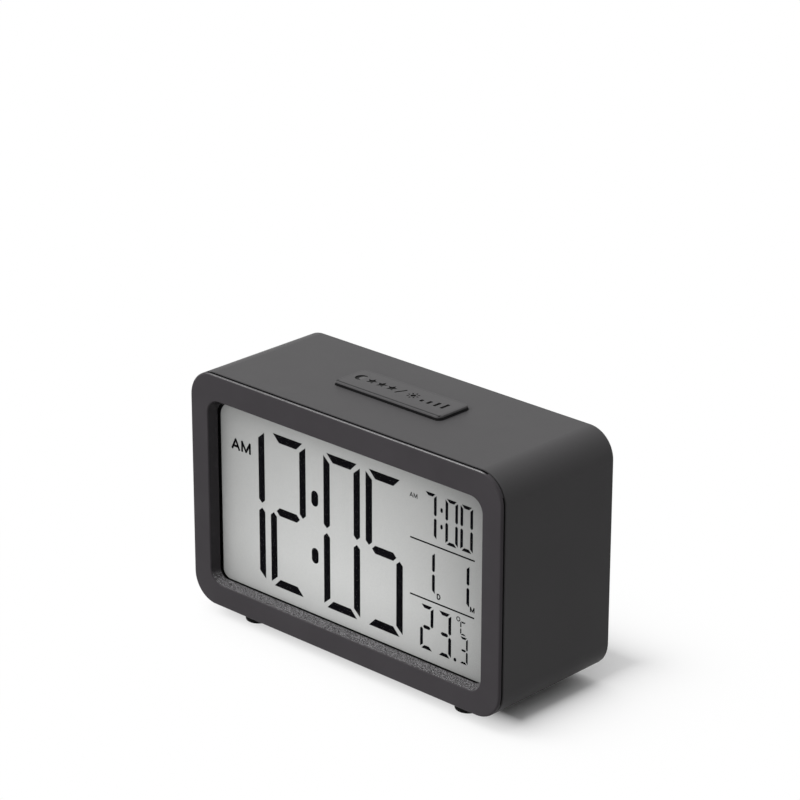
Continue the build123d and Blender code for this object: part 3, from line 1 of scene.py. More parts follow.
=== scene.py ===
# %% [markdown]
# # Looks for a desk clock with a liquid-crystal display
# The clock is a box of black moulded plastic with a silver-grey display behind a clear window, one long
# button on top, and keys, a slide and a battery door on the back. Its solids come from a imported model.
# They could be modelled again in Blender, but then a key might no longer fit its hole or its joint. So the
# solids stay as they are, and this script gives them their finishes, adds what is too fine for them, and
# sets up the studio.

# %% Load the solids
import bpy
import bmesh
import json
import math
from mathutils import Matrix, Vector


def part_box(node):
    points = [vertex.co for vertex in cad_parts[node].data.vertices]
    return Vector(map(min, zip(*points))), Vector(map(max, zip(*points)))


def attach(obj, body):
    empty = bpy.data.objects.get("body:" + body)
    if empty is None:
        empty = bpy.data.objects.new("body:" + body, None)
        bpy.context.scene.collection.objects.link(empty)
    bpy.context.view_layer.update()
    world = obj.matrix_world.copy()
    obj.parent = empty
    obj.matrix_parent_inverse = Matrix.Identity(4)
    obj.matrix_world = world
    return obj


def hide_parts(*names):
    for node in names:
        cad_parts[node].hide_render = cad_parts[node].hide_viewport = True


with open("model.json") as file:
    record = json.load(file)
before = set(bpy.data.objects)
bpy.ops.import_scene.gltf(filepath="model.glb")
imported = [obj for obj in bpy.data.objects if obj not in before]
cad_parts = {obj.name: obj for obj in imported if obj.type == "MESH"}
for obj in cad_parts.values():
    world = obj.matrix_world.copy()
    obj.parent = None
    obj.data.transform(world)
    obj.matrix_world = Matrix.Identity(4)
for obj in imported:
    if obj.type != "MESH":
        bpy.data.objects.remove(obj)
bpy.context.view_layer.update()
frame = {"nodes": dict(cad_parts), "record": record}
MM = 0.001

# %% [markdown]
# ## Colours
# The case is near black and the display silver grey, both judged on a screen. A screen value isn't the
# share of light that a surface sends back, because a screen spends more of its steps on dark tones. Linear
# numbers could be typed instead, but they are hard to compare with a photograph. So colours are written as
# a screen shows them.


# %% From screen colours to linear ones
def linear(code):
    """A linear colour with alpha 1 from a screen colour such as #808080."""
    parts = []
    for start in (1, 3, 5):
        value = int(code[start:start + 2], 16) / 255
        parts.append(value / 12.92 if value <= 0.04045 else ((value + 0.055) / 1.055) ** 2.4)
    return (*parts, 1.0)


print("middle grey is", round(linear("#808080")[0], 3), "of white")

# %% [markdown]
# ## Nodes
# Each finish is a small graph that works out colour, gloss and bumps from the place on the object. A node
# takes four steps in Blender: make it, set it, fill in its inputs, link it. Written out, ten nodes fill a
# page, and a function for each sort of node would hide what Blender calls it. One function for all of them
# keeps the real names, and gives back the node's first output in use, which the next node can take
# straight away.


# %% One function that adds any node
def add(tree, kind, inputs=None, **settings):
    """Add a node with its settings and inputs, and give back its first output in use.

    An input is a value, or another node's output to link. It goes by its name, or by its number where
    several have one name. The node itself is the .node of what comes back.
    """
    node = tree.nodes.new(kind)
    for key, value in settings.items():
        setattr(node, key, value)
    named = {socket.name: socket for socket in node.inputs if socket.enabled}
    for key, value in (inputs or {}).items():
        socket = node.inputs[key] if isinstance(key, int) else named[key]
        if isinstance(value, bpy.types.NodeSocket):
            tree.links.new(value, socket)
        else:
            socket.default_value = value
    return next((socket for socket in node.outputs if socket.enabled), None)


# Noise seldom leaves this range, so it is what gets stretched to the wanted one.
NOISE = {"From Min": 0.3, "From Max": 0.7}
print("noise is stretched from", NOISE["From Min"], "to", NOISE["From Max"])


# %% Start and finish a material
def start_material(name):
    """An empty material, its node tree, and the place on the object in metres."""
    material = bpy.data.materials.new(name)
    material.use_nodes = True
    tree = material.node_tree
    tree.nodes.clear()
    place = add(tree, "ShaderNodeTexCoord").node.outputs["Object"]
    return material, tree, place


def finish_material(material, shader):
    add(material.node_tree, "ShaderNodeOutputMaterial", {"Surface": shader})
    return material


def wander(tree, pattern, first, second, most=1.0):
    """A colour that wanders from one to another as a noise does, or most of the way."""
    share = add(tree, "ShaderNodeMapRange", {"Value": pattern, **NOISE, "To Max": most})
    return add(tree, "ShaderNodeMix", {"Factor": share, "A": first, "B": second}, data_type="RGBA")


finishes = {}


def coat(slot, material):
    """Give a material to every solid whose slot in the record this is."""
    finishes[slot] = material
    nodes = [part["node"] for part in frame["record"]["subparts"] if part["material_slot"] == slot]
    for node in nodes:
        mesh = frame["nodes"][node].data
        mesh.materials.clear()
        mesh.materials.append(material)
    print(material.name, "on", ", ".join(nodes))


# %% [markdown]
# ## Case, keys and rubber
# The housing, rear cover and battery door are ABS from a steel mould with spark-eroded walls. Its grain is
# so fine and even that the eye sees matt black with no hard reflection, and faint clouds where hands have
# rubbed it. Real bumps of 0.2 mm would take millions of faces, and a flat colour would look like paper. So
# noise at the grain's real size drives a bump and tiny specks of colour, and a wide noise varies tone and
# roughness. The keys are the same plastic, smoother and a little lighter. Feet and seals are black rubber,
# which has hardly any gloss.

# %% Grained plastic and rubber
CLOUD = 14 * MM


def moulded(name, dark, light, rough, specular, grain_size, depth):
    """Plastic or rubber from a grained mould: fine bumps, soft clouds in colour and roughness."""
    material, tree, place = start_material(name)
    clouds = add(tree, "ShaderNodeTexNoise", {"Vector": place, "Scale": 1 / CLOUD, "Detail": 3.0})
    grain = add(tree, "ShaderNodeTexNoise",
                {"Vector": place, "Scale": 1 / grain_size, "Detail": 2.0, "Roughness": 0.6})
    speck = wander(tree, grain, linear(dark), linear(light))
    base = wander(tree, clouds, linear(dark), speck, 0.7)
    satin = add(tree, "ShaderNodeMapRange",
                {"Value": clouds, **NOISE, "To Min": rough - 0.03, "To Max": rough + 0.04})
    bump = add(tree, "ShaderNodeBump", {"Strength": 1.0, "Distance": depth, "Height": grain})
    shader = add(tree, "ShaderNodeBsdfPrincipled",
                 {"Base Color": base, "Roughness": satin, "Normal": bump, "Specular IOR Level": specular})
    return finish_material(material, shader)


coat("case_plastic", moulded("abs_case", "#494849", "#504f50", 0.5, 0.12, 0.22 * MM, 0.006 * MM))
coat("key_plastic", moulded("abs_keys", "#525153", "#5a595b", 0.42, 0.2, 0.15 * MM, 0.004 * MM))
coat("foot_rubber", moulded("rubber_feet", "#141414", "#1b1b1b", 0.8, 0.1, 0.3 * MM, 0.01 * MM))
coat("seal_rubber", moulded("rubber_seals", "#0b0b0b", "#141414", 0.7, 0.1, 0.3 * MM, 0.01 * MM))

# %% [markdown]
# ## Bands
# The button and the front frame change their finish from one zone to the next, a fraction of a millimetre
# wide. Each zone could be a face group with its own material, but the solids' triangles don't follow the
# zones. A band worked out from the place on the object has the same width everywhere, whatever the mesh
# is.


# %% Bands along an axis, and the inside of an outline
def within(tree, value, low, high, soft=0.02 * MM):
    """1 where the value is between low and high, with a soft edge."""
    rise = {"From Min": low - soft, "From Max": low + soft}
    fall = {"From Min": high + soft, "From Max": high - soft}
    past_low = add(tree, "ShaderNodeMapRange", {"Value": value, **rise})
    before_high = add(tree, "ShaderNodeMapRange", {"Value": value, **fall})
    return add(tree, "ShaderNodeMath", {0: past_low, 1: before_high}, operation="MULTIPLY")


def inside_box(tree, spot, node, axes, inset):
    """1 where a point is at least the inset inside the node's box, along the axes given."""
    low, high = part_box(node)
    inside = 1.0
    for axis in axes:
        number = "XYZ".index(axis)
        band = within(tree, spot[axis], low[number] + inset, high[number] - inset)
        inside = add(tree, "ShaderNodeMath", {0: band, 1: inside}, operation="MULTIPLY")
    return inside


def facing_up(tree):
    """How far the surface faces up: 1 on top, 0 on a wall, -1 underneath."""
    normal = add(tree, "ShaderNodeNewGeometry").node.outputs["Normal"]
    return add(tree, "ShaderNodeSeparateXYZ", {0: normal}).node.outputs["Z"]


# %% [markdown]
# ## Top button
# The button is ABS too. A dark line runs just inside the edge of its top, full along the front and faint
# further back. Its wall has a painted highlight on a light ledge below the top, and painted shade in black
# further down, where it dips into the well. Both could be cut into the solid, but they are under a tenth
# of a millimetre deep. Colour shows them as well, and leaves a plain top for the pictures that are
# engraved later.

# %% The line near the button's edge
FLANGE = 1.5 * MM
LINE_STARTS, LINE_ENDS = 0.4 * MM, 1.0 * MM
LINE_FULL_TO, LINE_FAINT_FROM = 1.0 * MM, 2.0 * MM


def edge_line(tree, spot):
    """A line along the button's edge; its flange, which hides in the well, is wider than its top."""
    outer = inside_box(tree, spot, "snooze_button", "XY", FLANGE + LINE_STARTS)
    inner = inside_box(tree, spot, "snooze_button", "XY", FLANGE + LINE_ENDS)
    line = add(tree, "ShaderNodeMath", {0: outer, 1: inner}, operation="SUBTRACT")
    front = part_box("snooze_button")[0].y + FLANGE
    # The line is full near the front and fades to a fifth of its darkness further back.
    clear = add(tree, "ShaderNodeMapRange", {"Value": spot["Y"], "From Min": front + LINE_FULL_TO,
                                             "From Max": front + LINE_FAINT_FROM, "To Min": 1.0, "To Max": 0.2})
    return add(tree, "ShaderNodeMath", {0: line, 1: clear}, operation="MULTIPLY")


print("line on the button:", round((LINE_ENDS - LINE_STARTS) / MM, 2), "mm wide")

# %% The button's plastic
LEDGE = 0.6 * MM
UPRIGHT = {"From Min": 0.35, "From Max": 0.6, "To Min": 1.0, "To Max": 0.0}


def button_material():
    """Grained ABS, a line on top, and a wall with a painted highlight at the ledge and painted shade below.
    """
    material, tree, place = start_material("abs_button")
    spot = add(tree, "ShaderNodeSeparateXYZ", {0: place}).node.outputs
    wall = add(tree, "ShaderNodeMapRange", {"Value": facing_up(tree), **UPRIGHT})
    clouds = add(tree, "ShaderNodeTexNoise", {"Vector": place, "Scale": 1 / CLOUD, "Detail": 3.0})
    grain = add(tree, "ShaderNodeTexNoise",
                {"Vector": place, "Scale": 1 / (0.22 * MM), "Detail": 2.0, "Roughness": 0.6})
    face = wander(tree, clouds, linear("#4b4a4b"), linear("#525152"), 0.5)
    face = add(tree, "ShaderNodeMix", {"Factor": edge_line(tree, spot), "A": face, "B": linear("#0f0f10")},
               data_type="RGBA")
    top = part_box("snooze_button")[1].z
    # Painted light on the wall: a painted highlight on the ledge below the top, painted shade in black
    # below it.
    painted_ledge_highlight = within(tree, spot["Z"], top - LEDGE, top + 0.1 * MM, 0.05 * MM)
    painted_flank = add(tree, "ShaderNodeMix", {"Factor": painted_ledge_highlight, "A": linear("#0c0c0d"), "B": linear("#5a595a")},
                data_type="RGBA")
    base = add(tree, "ShaderNodeMix", {"Factor": wall, "A": face, "B": painted_flank}, data_type="RGBA")
    satin = add(tree, "ShaderNodeMapRange", {"Value": clouds, **NOISE, "To Min": 0.44, "To Max": 0.5})
    bump = add(tree, "ShaderNodeBump", {"Strength": 1.0, "Distance": 0.006 * MM, "Height": grain})
    shader = add(tree, "ShaderNodeBsdfPrincipled",
                 {"Base Color": base, "Roughness": satin, "Normal": bump, "Specular IOR Level": 0.14})
    return finish_material(material, shader)


coat("button_plastic", button_material())

# %% [markdown]
# ## Front frame
# The frame is one moulding with four finishes. Its face is matt like the case. The slopes of the recess
# have a coarse grain and painted shade that darkens them, and their specks carry a painted glint where
# they face up. The lip round the window has painted shade in black. The rounded rim is polished where it
# faces up, and behind it painted shade in black covers the rim's back and the gap to the housing. Four
# materials would leave hard borders along the triangles. So one material has a band for each zone, and
# they steer colour, gloss and bumps. The slope's real grain is finer than the picture can hold, so it is
# drawn at 0.24 mm, as coarse as it must be.

# %% The zones of the front frame
BORDER = 6.5 * MM
RIM = 0.5 * MM
SEAM_SHADE_AT_SIDE, SEAM_SHADE_EARLIER_ON_TOP = 0.85 * MM, 0.35 * MM
SEAM_SHADE_SOFT = 0.03 * MM
GAP_STARTS, GAP_REACHES = 1.2 * MM, 0.5 * MM
SLOPE_STARTS, SLOPE_ENDS, SLOPE_SOFT = 0.3 * MM, 0.35 * MM, 0.1 * MM
LIP_BEFORE, LIP_BEHIND = 0.3 * MM, 3.0 * MM


def painted_seam_shade(tree, spot, upward, rim, inner):
    """Painted shade behind the rim and in the gap: it starts sooner on top, where the eye looks down into
    it.
    """
    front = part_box("front_frame")[0].y
    start = add(tree, "ShaderNodeMath", {0: upward, 1: -SEAM_SHADE_EARLIER_ON_TOP, 2: front + SEAM_SHADE_AT_SIDE},
                operation="MULTIPLY_ADD")
    past = add(tree, "ShaderNodeMath", {0: spot["Y"], 1: start}, operation="SUBTRACT")
    behind = add(tree, "ShaderNodeMapRange", {"Value": past, "From Min": -SEAM_SHADE_SOFT, "From Max": SEAM_SHADE_SOFT})
    shaded = add(tree, "ShaderNodeMath", {0: rim, 1: behind}, operation="MULTIPLY")
    gap_shade = within(tree, spot["Y"], front + GAP_STARTS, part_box("housing")[0].y + GAP_REACHES)
    border = add(tree, "ShaderNodeMath", {0: 1.0, 1: inner}, operation="SUBTRACT")
    gap_shade = add(tree, "ShaderNodeMath", {0: gap_shade, 1: border}, operation="MULTIPLY")
    return add(tree, "ShaderNodeMath", {0: shaded, 1: gap_shade}, operation="MAXIMUM")


def front_zones(tree, place):
    """Bands for the slopes, their lit part with painted glints, painted shade on lip and seam, the polished
    rim.
    """
    spot = add(tree, "ShaderNodeSeparateXYZ", {0: place}).node.outputs
    upward = add(tree, "ShaderNodeMapRange", {"Value": facing_up(tree), "From Min": 0.2, "From Max": 0.7})
    front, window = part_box("front_frame")[0].y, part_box("lens")[0].y
    inner = inside_box(tree, spot, "front_frame", "XZ", BORDER)
    slope = within(tree, spot["Y"], front + SLOPE_STARTS, window - SLOPE_ENDS, SLOPE_SOFT)
    slope = add(tree, "ShaderNodeMath", {0: slope, 1: inner}, operation="MULTIPLY")
    lit = add(tree, "ShaderNodeMath", {0: slope, 1: upward}, operation="MULTIPLY")
    # The lip's black is painted shade.
    lip_shade = within(tree, spot["Y"], window - LIP_BEFORE, window + LIP_BEHIND)
    flat = inside_box(tree, spot, "front_frame", "XZ", RIM)
    rim = add(tree, "ShaderNodeMath", {0: 1.0, 1: flat}, operation="SUBTRACT")
    seam_shade = painted_seam_shade(tree, spot, upward, rim, inner)
    worn = add(tree, "ShaderNodeMath", {0: rim, 1: seam_shade}, operation="SUBTRACT", use_clamp=True)
    polish = add(tree, "ShaderNodeMath", {0: worn, 1: upward}, operation="MULTIPLY")
    return {"slope": slope, "lit": lit, "lip_shade": lip_shade, "seam_shade": seam_shade, "polish": polish}


# %% The front frame's plastic
def front_colour(tree, clouds, coarse, zones):
    """Matt black-grey; painted shade and painted glint specks on the slopes, black painted shade on lip and
    seam.
    """
    base = wander(tree, clouds, linear("#3d3a3d"), linear("#423f42"))
    speck = add(tree, "ShaderNodeMapRange", {"Value": coarse, **NOISE, "To Min": -0.9, "To Max": 1.25})
    speck = add(tree, "ShaderNodeMath", {0: speck, 1: zones["lit"]}, operation="MULTIPLY")
    # Painted light: shade on the slopes, a glint on their specks where they face up, black shade in seam
    # and lip.
    for zone, code in ((zones["slope"], "#2c2a2c"), (speck, "#949395"), (zones["seam_shade"], "#0c0c0d"),
                       (zones["lip_shade"], "#060607")):
        base = add(tree, "ShaderNodeMix", {"Factor": zone, "A": base, "B": linear(code)}, data_type="RGBA")
    return base


def front_material():
    """ABS with fine grain on the face, coarse grain in the recess, and a polished rim."""
    material, tree, place = start_material("abs_front_frame")
    zones = front_zones(tree, place)
    slope, polish = zones["slope"], zones["polish"]
    fine = add(tree, "ShaderNodeTexNoise",
               {"Vector": place, "Scale": 1 / (0.2 * MM), "Detail": 2.0, "Roughness": 0.6})
    coarse = add(tree, "ShaderNodeTexNoise",
                 {"Vector": place, "Scale": 1 / (0.24 * MM), "Detail": 1.0, "Roughness": 0.6})
    clouds = add(tree, "ShaderNodeTexNoise", {"Vector": place, "Scale": 1 / (16 * MM), "Detail": 3.0})
    depth = add(tree, "ShaderNodeMapRange", {"Value": slope, "To Min": 0.004 * MM, "To Max": 0.09 * MM})
    height = add(tree, "ShaderNodeMix", {"Factor": slope, "A": fine, "B": coarse}, data_type="FLOAT")
    bump = add(tree, "ShaderNodeBump", {"Strength": 1.0, "Distance": depth, "Height": height})
    rough = add(tree, "ShaderNodeMapRange", {"Value": slope, "To Min": 0.5, "To Max": 0.38})
    rough = add(tree, "ShaderNodeMix", {"Factor": polish, "A": rough, "B": 0.24}, data_type="FLOAT")
    gloss = add(tree, "ShaderNodeMapRange", {"Value": polish, "To Min": 0.12, "To Max": 0.8})
    gloss = add(tree, "ShaderNodeMapRange", {"Value": zones["seam_shade"], "To Min": gloss, "To Max": 0.0})
    base = front_colour(tree, clouds, coarse, zones)
    shader = add(tree, "ShaderNodeBsdfPrincipled",
                 {"Base Color": base, "Roughness": rough, "Normal": bump, "Specular IOR Level": gloss})
    return finish_material(material, shader)


coat("frame_plastic", front_material())

# %% [markdown]
# ## The display's grey film
# A reflective display looks silver grey because a satin polarising film lies over a reflector. It is
# lightest left of the middle and fades to the edges, and its picture ends in rounded corners with black
# beyond. The fade could come from lamps placed just so, but then it would go when the light changes. Here
# it is in the film's colour, as a product of soft falls along X and Z. Light that enters such a stack
# spreads inside the layers and leaves them evenly, so the frame throws hardly any shadow on the picture,
# and a weak glow stands in for that.

# %% How far a point is outside a block
def distance_outside(tree, place, middle, half):
    """The distance from a block, given by its middle and half its size; 0 inside it."""
    apart = add(tree, "ShaderNodeVectorMath", {0: place, 1: middle}, operation="SUBTRACT")
    apart = add(tree, "ShaderNodeVectorMath", {0: apart}, operation="ABSOLUTE")
    apart = add(tree, "ShaderNodeVectorMath", {0: apart, 1: half}, operation="SUBTRACT")
    apart = add(tree, "ShaderNodeVectorMath", {0: apart, 1: (0, 0, 0)}, operation="MAXIMUM")
    return add(tree, "ShaderNodeVectorMath", {0: apart}, operation="LENGTH")


# %% The fade and the outline of the picture
FADES = (
    # axis, where it is lightest, how far the fall reaches, its power and its depth
    ("X", -6 * MM, 54 * MM, 2.2, 0.36),
    ("Z", 29 * MM, 42 * MM, 1.2, 0.28),
    ("Z", 50 * MM, 44 * MM, 5.0, 0.35),
)
PICTURE_INSET, LOWER_INSET = 1.9 * MM, 1.5 * MM
UPPER_CORNER, LOWER_CORNER = 5.0 * MM, 2.2 * MM
ENDLESS = 1.0


def fade_to_edges(tree, spot):
    """1 where the film is lightest, less towards its edges."""
    fade = 1.0
    for axis, middle, reach, power, depth in FADES:
        off = add(tree, "ShaderNodeMath", {0: spot[axis], 1: middle}, operation="SUBTRACT")
        off = add(tree, "ShaderNodeMath", {0: off}, operation="ABSOLUTE")
        off = add(tree, "ShaderNodeMath", {0: off, 1: reach}, operation="DIVIDE")
        off = add(tree, "ShaderNodeMath", {0: off, 1: power}, operation="POWER")
        share = add(tree, "ShaderNodeMath", {0: off, 1: -depth, 2: 1.0}, operation="MULTIPLY_ADD")
        fade = add(tree, "ShaderNodeMath", {0: share, 1: fade}, operation="MULTIPLY")
    return fade


def picture_area(tree, place, spot):
    """1 inside the picture, whose upper corners are rounder than the lower ones."""
    low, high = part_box("lens")
    low = Vector((low.x + PICTURE_INSET, 0, low.z + LOWER_INSET))
    high = Vector((high.x - PICTURE_INSET, 0, high.z - PICTURE_INSET))
    middle = (low + high) / 2
    upper = add(tree, "ShaderNodeMath", {0: spot["Z"], 1: middle.z}, operation="GREATER_THAN")
    radius = add(tree, "ShaderNodeMath", {0: upper, 1: UPPER_CORNER - LOWER_CORNER, 2: LOWER_CORNER},
                 operation="MULTIPLY_ADD")
    corner = add(tree, "ShaderNodeCombineXYZ", {"X": radius, "Z": radius})
    reach = (high - low) / 2 + Vector((0, ENDLESS, 0))
    half = add(tree, "ShaderNodeVectorMath", {0: reach, 1: corner}, operation="SUBTRACT")
    apart = distance_outside(tree, place, middle, half)
    past = add(tree, "ShaderNodeMath", {0: apart, 1: radius}, operation="SUBTRACT")
    return add(tree, "ShaderNodeMapRange", {"Value": past, "From Min": -0.02 * MM, "From Max": 0.02 * MM,
                                            "To Min": 1.0, "To Max": 0.0})


print("upper corners:", round(UPPER_CORNER / MM, 1), "mm, lower:", round(LOWER_CORNER / MM, 1), "mm")

# %% The film's material
GLOW = 0.41


def polariser_material():
    """Satin polarising film over a silver reflector: grey, with a faint metal sparkle."""
    material, tree, place = start_material("satin_polariser")
    spot = add(tree, "ShaderNodeSeparateXYZ", {0: place}).node.outputs
    light = add(tree, "ShaderNodeMath", {0: fade_to_edges(tree, spot), 1: picture_area(tree, place, spot)},
                operation="MULTIPLY")
    sparkle = add(tree, "ShaderNodeTexNoise", {"Vector": place, "Scale": 1 / (0.25 * MM), "Detail": 1.0})
    silver = wander(tree, sparkle, linear("#b9bab9"), linear("#cfcfcd"), 0.3)
    black = linear("#050506")
    base = add(tree, "ShaderNodeMix", {"Factor": light, "A": black, "B": silver}, data_type="RGBA")
    satin = add(tree, "ShaderNodeMapRange", {"Value": sparkle, **NOISE, "To Min": 0.42, "To Max": 0.48})
    bump = add(tree, "ShaderNodeBump", {"Strength": 0.5, "Distance": 0.004 * MM, "Height": sparkle})
    shader = add(tree, "ShaderNodeBsdfPrincipled",
                 {"Base Color": base, "Metallic": 0.15, "Roughness": satin, "Normal": bump,
                  "Specular IOR Level": 0.2, "Emission Color": base, "Emission Strength": GLOW})
    return finish_material(material, shader)


coat("polariser_film", polariser_material())

# %% [markdown]
# ## Window, glass and light guide
# The window is a plate of clear acrylic, the display has two panes of glass, and an acrylic light guide
# lies behind them. What shows is only their gloss and a trace of haze. Glass that bends light would be
# truer, but the film and the segments behind it would turn noisy and dark. The layers are thin and flat,
# so a surface that is nearly see-through, with the material's own IOR for its gloss, looks the same and
# renders cleanly.


# %% Clear layers
def clear_material(name, tint, alpha, rough, ior):
    """Clear plastic or glass seen as a thin layer: nearly see-through, with a soft gloss."""
    material, tree, place = start_material(name)
    haze = add(tree, "ShaderNodeTexNoise", {"Vector": place, "Scale": 1 / (9 * MM), "Detail": 3.0})
    gloss = add(tree, "ShaderNodeMapRange",
                {"Value": haze, **NOISE, "To Min": rough, "To Max": rough + 0.04})
    shader = add(tree, "ShaderNodeBsdfPrincipled",
                 {"Base Color": linear(tint), "Roughness": gloss, "IOR": ior, "Alpha": alpha})
    return finish_material(material, shader)


ACRYLIC, GLASS = 1.49, 1.52
coat("clear_lens", clear_material("acrylic_lens", "#050505", 0.015, 0.08, ACRYLIC))
coat("display_glass", clear_material("float_glass", "#a5b2ac", 0.35, 0.05, GLASS))
coat("guide_acrylic", clear_material("acrylic_light_guide", "#cfd6d8", 0.5, 0.1, ACRYLIC))

# %% [markdown]
# ## Small plastic pieces
# Inside are films, a tray, switches, sockets, plungers, wires and small parts of smooth plastic, resin or
# ceramic. They show through the slots, or when the battery door is open. Smooth mouldings keep faint flow
# marks and shallow dents. Each could have a material of its own, but they differ only in colour, gloss and
# the size of the marks, so one recipe and a table give every one its look.

# %% Smooth plastics
DENT = 0.6 * MM


def smooth_plastic(name, dark, light, rough, flow):
    """Plain moulded plastic or resin with a faint flow pattern and small dents."""
    material, tree, place = start_material(name)
    marks = add(tree, "ShaderNodeTexNoise", {"Vector": place, "Scale": 1 / flow, "Detail": 3.0})
    dents = add(tree, "ShaderNodeTexNoise", {"Vector": place, "Scale": 1 / DENT, "Detail": 2.0})
    base = wander(tree, marks, linear(dark), linear(light))
    satin = add(tree, "ShaderNodeMapRange",
                {"Value": marks, **NOISE, "To Min": rough - 0.05, "To Max": rough + 0.08})
    bump = add(tree, "ShaderNodeBump", {"Strength": 0.6, "Distance": 0.01 * MM, "Height": dents})
    shader = add(tree, "ShaderNodeBsdfPrincipled", {"Base Color": base, "Roughness": satin, "Normal": bump})
    return finish_material(material, shader)


SMOOTH_PIECES = (
    # slot, material, dark and light tone, roughness, size of the flow marks
    ("diffuser_film", "polyester_diffuser", "#dcdcda", "#e6e6e4", 0.5, 6 * MM),
    ("white_film", "polyester_reflector", "#e2e2e0", "#ececea", 0.45, 6 * MM),
    ("tray_plastic", "white_abs_tray", "#c6c6c2", "#d2d2ce", 0.35, 6 * MM),
    ("lamp_plastic", "epoxy_lamps", "#e4dca8", "#efe8bc", 0.2, 1.5 * MM),
    ("chip_resin", "epoxy_chip", "#0e0e0f", "#18181a", 0.22, 3 * MM),
    ("part_ceramic", "ceramic_parts", "#3a2f28", "#57483c", 0.3, 1.5 * MM),
    ("socket_plastic", "nylon_sockets", "#cfc8b0", "#dcd6c0", 0.35, 6 * MM),
    ("ribbon_plastic", "pvc_ribbon", "#7a7d83", "#8b8e94", 0.45, 2 * MM),
    ("switch_plastic", "nylon_switches", "#1c1c1d", "#262627", 0.35, 6 * MM),
    ("plunger_plastic", "acetal_plungers", "#cfcfc8", "#dcdcd6", 0.35, 6 * MM),
    ("lead_plastic", "pvc_leads", "#9a1f1b", "#ad2a25", 0.4, 3 * MM),
    ("sounder_plastic", "abs_sounder", "#1a1a1b", "#242425", 0.35, 6 * MM),
    ("thermistor_bead", "epoxy_thermistor", "#22242a", "#2f3138", 0.3, 1 * MM),
)
for slot, *recipe in SMOOTH_PIECES:
    coat(slot, smooth_plastic(*recipe))

# %% [markdown]
# ## Metals
# Screws are zinc-plated steel, contacts nickel-plated, the crystal has a drawn can, and the sounder's disc
# is brass. Drawing and rolling leave fine marks along the strip. An anisotropic shader could show them,
# but it needs tangents that these meshes lack, so noise that is stretched along X gives the marks their
# bump and roughness.


# %% Plated and drawn metals
def metal(name, dark, light, rough):
    """Plated steel or brass with fine drawing marks along X."""
    material, tree, place = start_material(name)
    drawn = add(tree, "ShaderNodeMapping", {"Vector": place, "Scale": (0.08, 1.0, 1.0)})
    marks = add(tree, "ShaderNodeTexNoise", {"Vector": drawn, "Scale": 1 / (0.12 * MM), "Detail": 3.0})
    clouds = add(tree, "ShaderNodeTexNoise", {"Vector": place, "Scale": 1 / (2 * MM), "Detail": 3.0})
    base = wander(tree, clouds, linear(dark), linear(light))
    satin = add(tree, "ShaderNodeMapRange",
                {"Value": marks, **NOISE, "To Min": rough - 0.06, "To Max": rough + 0.1})
    bump = add(tree, "ShaderNodeBump", {"Strength": 0.5, "Distance": 0.004 * MM, "Height": marks})
    shader = add(tree, "ShaderNodeBsdfPrincipled",
                 {"Base Color": base, "Metallic": 1.0, "Roughness": satin, "Normal": bump})
    return finish_material(material, shader)


coat("can_metal", metal("nickel_plated_can", "#b4b4b6", "#c8c8ca", 0.32))
coat("screw_steel", metal("zinc_plated_screws", "#77777a", "#8f8f92", 0.38))
coat("contact_steel", metal("nickel_plated_contacts", "#b9b6ae", "#cbc8c0", 0.25))
coat("sounder_brass", metal("brass_disc", "#b08d45", "#c4a258", 0.3))

# %% [markdown]
# ## Circuit boards
# A board is glass-fibre sheet with copper tracks under green solder resist. The tracks stand a few
# hundredths of a millimetre proud and look lighter. Modelled tracks would be lost inside the case, so a
# brick pattern, whose joints run like tracks, lightens the green and lifts it a little.


# %% Solder resist over tracks
def board_material():
    """Green solder resist over copper tracks on glass-fibre board: satin green with lighter lines."""
    material, tree, place = start_material("green_solder_resist")
    turned = add(tree, "ShaderNodeMapping", {"Vector": place, "Rotation": (math.radians(90), 0, 0)})
    bricks = add(tree, "ShaderNodeTexBrick",
                 {"Vector": turned, "Scale": 1 / (5 * MM), "Mortar Size": 0.05, "Mortar Smooth": 0.2,
                  "Brick Width": 0.9, "Row Height": 0.3})
    tracks = bricks.node.outputs["Fac"]
    weave = add(tree, "ShaderNodeTexNoise", {"Vector": place, "Scale": 1 / (0.5 * MM), "Detail": 2.0})
    resist = wander(tree, weave, linear("#0d4a2a"), linear("#125a33"))
    raised = linear("#2a8a52")
    base = add(tree, "ShaderNodeMix", {"Factor": tracks, "A": resist, "B": raised}, data_type="RGBA")
    satin = add(tree, "ShaderNodeMapRange", {"Value": weave, **NOISE, "To Min": 0.28, "To Max": 0.4})
    bump = add(tree, "ShaderNodeBump", {"Strength": 0.6, "Distance": 0.03 * MM, "Height": tracks})
    shader = add(tree, "ShaderNodeBsdfPrincipled", {"Base Color": base, "Roughness": satin, "Normal": bump})
    return finish_material(material, shader)


coat("circuit_board", board_material())

# %% [markdown]
# ## Cells
# An AAA cell is a steel can in a shrunk, printed film. The print here is plain: dark in the middle, copper
# coloured at both ends, with bare metal beyond. Separate sleeves could carry it, but the film has no
# thickness that shows. The cells lie along X, so the distance from the middle picks the band.

# %% The cells' jacket
COPPER_FROM, BARE_FROM = 11.0 * MM, 21.2 * MM


